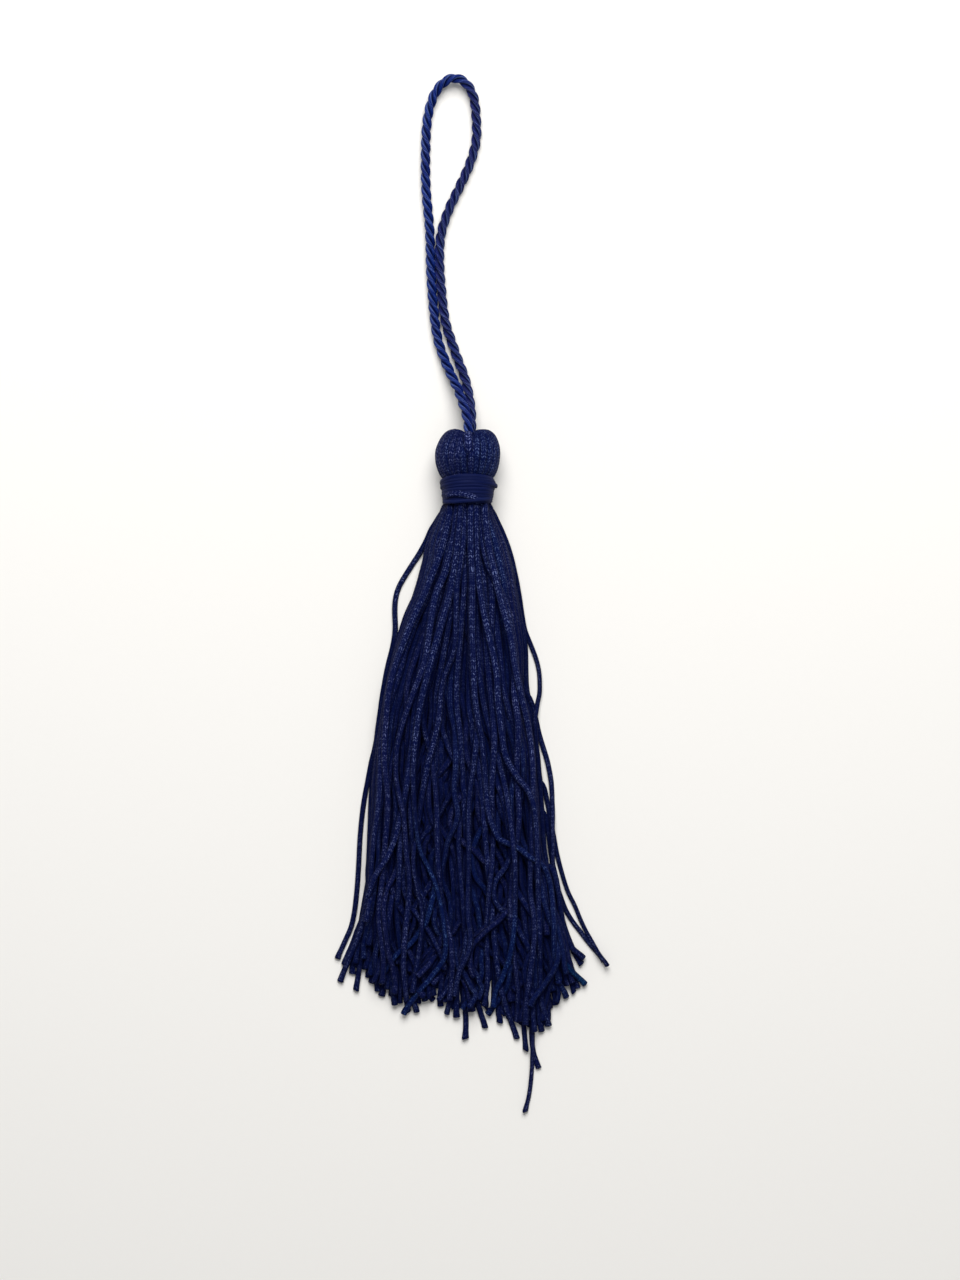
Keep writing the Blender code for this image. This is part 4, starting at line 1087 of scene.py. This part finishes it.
def strandGuide(points, plan, settings, rows, girth, buriedShade, draws):
    # resamples a strand, closes its root, and spreads and rounds its cut tip
    flare, spin = draws.uniform(*settings["flare"]), draws.uniform(*settings["roll"])
    path, length = smoothPath(points, settings["spacing"])
    distance = np.linspace(0.0, length, len(path))
    girths = np.interp(-path[:, 1], rows, girth)
    girths = girths * (1.0 + flare * smoothStep(distance, length - settings["flareOver"], length))
    ahead, shares = np.array(settings["tip"]).T
    tip = path[-1] + np.outer(ahead, unitRows(path[-1:] - path[-2:-1])[0])
    path = np.vstack([path[:1] - (path[1] - path[0]) * 0.02, path, tip])
    girths = np.concatenate([[0.0], girths, girths[-1] * shares])
    tangents = unitRows(np.gradient(path, axis=0))
    phase = draws.uniform(0.0, math.tau)
    roll = spin * np.sin(np.linspace(0.0, 1.0, len(path)) * draws.uniform(3.0, 7.0) + phase)
    restOnFloor(path, girths, (np.sin(roll), np.cos(roll)), settings)
    up = unitRows(np.array((0.0, 0.0, 1.0)) - tangents * tangents[:, 2:3])
    tone, over = settings["neckTone"]
    known = smoothStep(-path[:, 1], plan["toneFrom"], plan["toneFrom"] + over)
    return {
        "points": path, "girth": girths, "buriedShade": np.interp(-path[:, 1], rows, buriedShade),
        "faces": up * np.cos(roll)[:, None] + np.cross(tangents, up) * np.sin(roll)[:, None],
        "tone": tone + (plan["tone"] - tone) * known,
    }


def buildSkirt(settings, named):
    plans = planStrands(settings, named)
    rows, across, height, tips, alive, girth = settleSkirt(settings, plans)
    draws = random.Random(settings["seed"] + 1)
    swing = [np.sin(rows / draws.uniform(2.5, 6.0) + draws.uniform(0.0, math.tau)) for _ in plans]
    shadeShare = np.array([plan["shadeShare"] for plan in plans])[:, None] + settings["shadeShareSwing"] * np.array(swing)
    shadeShare = np.clip(shadeShare, 0.0, 1.0) * smoothStep(rows, *settings["shadeShareFrom"])
    buriedShade = heapShade(rows, across, height, alive, shadeShare, settings)
    # the loose part of the heap has air in it
    lifts = (height - settings["thickness"] * girth / 2.0) * (readColumn(settings["loft"], rows, 1) - 1.0)
    side = settings["loftRows"]
    even = np.full(2 * side + 1, 1.0 / (2 * side + 1))
    lasts = (rows[None, :] <= tips[:, None]).sum(axis=1)
    tops = [float(np.mean(height[index, 20:last])) for index, last in enumerate(lasts)]
    names = ("skirtUnder", "skirtMiddle", "skirtFace")
    groups = {name: [] for name in names}
    for rank, index in enumerate(np.argsort(tops)):
        last, tip = lasts[index], tips[index]
        height[index, :last] += np.convolve(np.pad(lifts[index, :last], side, mode="edge"), even, "valid")
        height[index, last:] = height[index, last - 1]
        points = np.stack([across[index, :last], -rows[:last], height[index, :last]], axis=1)
        if tip - rows[last - 1] > 0.05:
            points = np.vstack([points, (np.interp(tip, rows, across[index]), -tip,
                                         np.interp(tip, rows, height[index]))])
        guide = strandGuide(points, plans[index], settings, rows, girth[index], buriedShade[index], draws)
        groups[names[rank * len(names) // len(plans)]].append(guide)
    pieces = [makeStrands(name, guides, settings, knittedYarn) for name, guides in groups.items()]
    for piece in pieces:
        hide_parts("skein")
    return pieces


skirtPieces = buildSkirt(skirtSettings, namedStrands)
print("skirt strands:", ", ".join(f"{piece.name} {len(piece.data.polygons)} faces" for piece in skirtPieces))


headSettings = {
    "count": 28,
    "seed": 3,
    "width": 1.02,
    "thickness": 0.62,
    "sides": 12,
    "spacing": 0.4,
    "fineSpacing": 0.2,
    "height": 3.5,
    "cleftDrop": 0.75,
    "cleftDepth": 0.16,
    "cleftSpread": 24.0,
    "faceLift": 0.8,
    "liftUnder": (-1.0, 2.0),         # down over which the lift of the face begins
    "dimpleAcross": 0.25,
    "bindingTop": 3.5,
    "bindingBottom": 6.9,
    "inset": 0.34,                    # how far the second layer lies under the first
    "insetShade": 0.4,               # and how much more painted shade its yarn gets
    "uneven": (-0.03, 0.04),
    "sway": 0.04,
    "room": (1.16, 0.35, 1.08),       # girth against a strand's room around the head, its least and its most
    "buriedShade": (0.16, 0.6, 0.55, 0.95),       # painted shade in front, more on the crown, and where that begins and ends
    "tone": (0.12, 0.35, 0.26, 35.0),        # least, at random, and more as a painted highlight on the side that faces this angle
    # the strand that closes the cleft in front: x, y, z
    "tongue": ((0.05, 2.90, 4.90), (0.06, 2.62, 5.75), (0.08, 2.10, 6.40), (0.12, 1.55, 6.80),
               (0.16, 1.05, 6.98), (0.18, 0.55, 7.00), (0.18, 0.10, 6.86), (0.18, -0.35, 6.60)),
    "tongueGirth": 1.25,
    "tongueTone": 0.3,
    "tongueFrom": 0.9,                # y where it begins to taper
    # down, half width, half height, crown share
    "sections": (
        (-1.0, 0.95, 1.35, 0.3), (-1.9, 1.25, 1.75, 0.3), (-2.95, 1.4, 1.85, 0.8), (-3.45, 2.15, 2.35, 1.0),
        (-3.15, 3.15, 2.85, 0.9), (-2.2, 3.95, 3.35, 0.6), (-0.6, 4.5, 3.68, 0.2), (1.1, 4.46, 3.66, 0.0),
        (2.15, 4.2, 3.38, 0.0), (2.95, 3.84, 3.1, 0.0), (3.6, 3.35, 2.8, 0.0), (4.4, 3.0, 2.65, 0.0),
        (6.6, 2.95, 2.6, 0.0),
    ),
}


def faceLift(down, azimuth, settings):
    # the face of the head and binding lies a little nearer the loop than their back
    overNeck = smoothStep(-down, -settings["bindingBottom"], -settings["bindingTop"])
    underCrown = smoothStep(down, *settings["liftUnder"])
    return settings["faceLift"] * overNeck * underCrown * np.maximum(0.0, np.sin(azimuth))


def headSkin(fine, crown, azimuth, settings):
    down, halfWidth, halfHeight = fine.T
    turn = np.abs(np.abs(np.arctan2(np.sin(azimuth), np.cos(azimuth))) - math.pi / 2.0)
    cleft = np.exp(-((turn / math.radians(settings["cleftSpread"])) ** 2))
    shrink = 1.0 - settings["cleftDepth"] * cleft * crown
    x = halfWidth * shrink * np.cos(azimuth) + settings["dimpleAcross"] * crown
    z = settings["height"] + halfHeight * shrink * np.sin(azimuth)
    y = -down - settings["cleftDrop"] * cleft * crown + faceLift(down, azimuth, settings)
    return np.stack([x, y, z], axis=-1)


def headGuide(fine, crowns, azimuth, sway, phase, under, lift, settings, draws):
    share = np.linspace(0.0, 1.0, len(fine))
    angles = azimuth + sway * np.sin(share * math.pi * 1.5 + phase) * smoothStep(share, 0.15, 0.5)
    skin = headSkin(fine, crowns, angles, settings)
    beside = headSkin(fine, crowns, angles + 0.02, settings)
    normals = unitRows(np.cross(beside - skin, np.gradient(skin, axis=0)))
    outward = skin - np.array((settings["dimpleAcross"], 0.0, settings["height"]))
    middle = len(fine) // 2
    if np.sum(normals[middle] * outward[middle]) < 0.0:
        normals = -normals
    fullness, least, most = settings["room"]
    room = math.tau * np.sqrt((fine[:, 1] ** 2 + fine[:, 2] ** 2) / 2.0) / settings["count"]
    girths = np.clip(room * fullness / settings["width"], least, most)
    inset = under * settings["inset"] + lift
    centres = skin - normals * (settings["thickness"] / 2.0 * girths + inset)[:, None]
    restOnFloor(centres, girths, (np.hypot(normals[:, 0], normals[:, 1]), normals[:, 2]), settings)
    girths[0] = girths[-1] = 0.0
    # painted shade, which also dims the painted highlights: more on the crown, where the folds are pressed
    # smooth, and on the second layer
    least, more, begin, finish = settings["buriedShade"]
    buriedShade = least + more * smoothStep(crowns, begin, finish) + under * settings["insetShade"]
    least, chance, paintedHighlight, towards = settings["tone"]
    tone = least + chance * draws.random() + paintedHighlight * max(0.0, math.cos(azimuth - math.radians(towards))) ** 2
    return {"points": centres, "faces": normals, "girth": girths, "tone": tone,
            "buriedShade": np.clip(buriedShade, 0.0, 1.0)}


def buildHead(settings):
    draws = random.Random(settings["seed"])
    sections = np.array(settings["sections"])
    fine, _ = smoothPath(sections[:, :3], settings["fineSpacing"])
    crowns = np.interp(np.linspace(0.0, 1.0, len(fine)), np.linspace(0.0, 1.0, len(sections)), sections[:, 3])
    sway = settings["sway"]
    guides = []
    for index in range(settings["count"]):
        for shift, under in ((0.5, 0.0), (0.0, 1.0)):
            azimuth = math.tau * (index + shift + draws.uniform(-0.06, 0.06)) / settings["count"]
            bend, phase = draws.uniform(-sway, sway), draws.uniform(0.0, math.tau)
            lift = draws.uniform(*settings["uneven"])
            guides.append(headGuide(fine, crowns, azimuth, bend, phase, under, lift, settings, draws))
    tongue, _ = smoothPath(settings["tongue"], settings["spacing"])
    begin = settings["tongueFrom"]
    rounded = np.clip((-tongue[:, 1] + begin) / (-tongue[-1, 1] + begin), 0.0, 1.0)
    girths = settings["tongueGirth"] * np.sqrt(1.0 - rounded ** 2)
    girths[0] = 0.0
    faces = np.cross((1.0, 0.0, 0.0), unitRows(np.gradient(tongue, axis=0)))
    guides.append({"points": tongue, "faces": faces, "girth": girths, "tone": settings["tongueTone"]})
    piece = makeStrands("headStrands", guides, settings, knittedYarn)
    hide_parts("skein")
    return piece


headStrands = buildHead(headSettings)
print(f"head strands: {len(headStrands.data.polygons)} faces")


bindingSettings = {
    "turns": 9,
    "seed": 11,
    "width": 0.60,
    "thickness": 0.34,
    "sides": 10,
    "stepsATurn": 56,
    "top": 3.45,
    "bottom": 6.95,
    "ragged": 0.05,        # how far a turn strays
    # down, how far the turns stand out on the left, and on the right
    "reach": ((3.4, 3.62, 3.72), (4.0, 3.62, 3.76), (4.5, 3.60, 3.74), (5.1, 3.58, 3.68), (5.6, 3.56, 3.62),
              (6.3, 3.52, 3.52), (7.0, 3.48, 3.42)),
    "flatness": 0.925,
    "raise": 0.1,
    "knots": (             # where turns bunch up: down, azimuth, how proud
        (3.75, 3.14, 0.22), (4.45, 3.14, 0.20), (4.40, 0.0, 0.46)),
    "knotSize": (0.5, 0.34),
    "tone": 0.5,
    # a bit of knitted yarn tucked in on the face, and the end turn: x, down, how proud it stands
    "tuck": ((-3.1, 5.95, -0.2), (-2.7, 5.7, 0.02), (-1.9, 5.52, 0.1), (-1.0, 5.52, 0.12), (0.0, 5.72, 0.12),
             (0.7, 5.98, 0.1), (1.2, 6.12, 0.0), (1.6, 6.2, -0.2)),
    "tuckYarn": {"width": 0.90, "thickness": 0.40, "sides": 12},
    "endTurn": ((-3.55, 6.55, -0.15), (-3.2, 6.62, 0.03), (-1.6, 6.6, 0.1), (0.3, 6.45, 0.12),
                (2.0, 6.3, 0.08), (3.1, 6.22, -0.02), (3.45, 6.2, -0.2)),
    "tuckLook": (0.3, 1.0),           # tone and girth
    "endLook": (0.8, 0.95),
}


def bindingSkin(down, azimuth, proud, settings):
    # a point on the outside of the winding
    left, right = readColumn(settings["reach"], down, 1), readColumn(settings["reach"], down, 2)
    side = 0.5 + 0.5 * np.cos(azimuth)
    reach = left * (1.0 - side) + right * side + proud
    height = headSettings["height"] + (reach * settings["flatness"] + settings["raise"]) * np.sin(azimuth)
    return np.stack([reach * np.cos(azimuth), -down + faceLift(down, azimuth, headSettings), height], axis=1)


def windingGuide(points, azimuth, tone, girth):
    girths = np.full(len(points), girth)
    girths[0] = girths[-1] = 0.0
    faces = np.stack([np.cos(azimuth), 0.0 * azimuth, np.sin(azimuth)], axis=1)
    return {"points": points, "faces": faces, "girth": girths, "tone": tone}


def faceGuide(route, look, settings):
    # yarn that lies across the face of the winding
    path, _ = smoothPath(route, 0.3)
    azimuth = np.arccos(np.clip(path[:, 0] / readColumn(settings["reach"], path[:, 1], 1), -1.0, 1.0))
    points = bindingSkin(path[:, 1], azimuth, path[:, 2], settings)
    # the route says where it shows from above, so the lift of the face is left out
    points[:, 1] = -path[:, 1]
    return windingGuide(points, azimuth, *look)


def buildBinding(settings):
    draws = random.Random(settings["seed"])
    turns, top, bottom, most = (settings[label] for label in ("turns", "top", "bottom", "ragged"))
    turn = np.linspace(0.0, turns, turns * settings["stepsATurn"] + 1)
    azimuth = math.tau * turn - math.pi / 2.0
    pitch = (bottom - top) / turns
    down = top + pitch / 2.0 + (bottom - top - pitch) * turn / turns
    thirds = np.arange(turns * 3 + 1) / 3.0
    ragged = np.interp(turn, thirds, [draws.uniform(-most, most) for _ in thirds])
    proud = ragged - settings["thickness"] / 2.0
    knotWide, knotLong = settings["knotSize"]
    for knotDown, knotAzimuth, size in settings["knots"]:
        away = np.abs((azimuth - knotAzimuth + math.pi) % math.tau - math.pi)
        proud = proud + size * np.exp(-((away / knotWide) ** 2) - ((down - knotDown) / knotLong) ** 2)
    points = bindingSkin(down + ragged, azimuth, proud, settings)
    points[:, 2] = np.maximum(points[:, 2], settings["thickness"] / 2.0 + floorGap)
    guides = [windingGuide(points, azimuth, settings["tone"], 1.0),
              faceGuide(settings["endTurn"], settings["endLook"], settings)]
    tuck = faceGuide(settings["tuck"], settings["tuckLook"], settings)
    pieces = [makeStrands("neckWinding", guides, settings, windingYarn),
              makeStrands("tuckedYarn", [tuck], settings["tuckYarn"], knittedYarn)]
    for piece in pieces:
        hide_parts("neck_binding")
    return pieces


bindingPieces = buildBinding(bindingSettings)
print("winding:", ", ".join(f"{piece.name} {len(piece.data.polygons)} faces" for piece in bindingPieces))
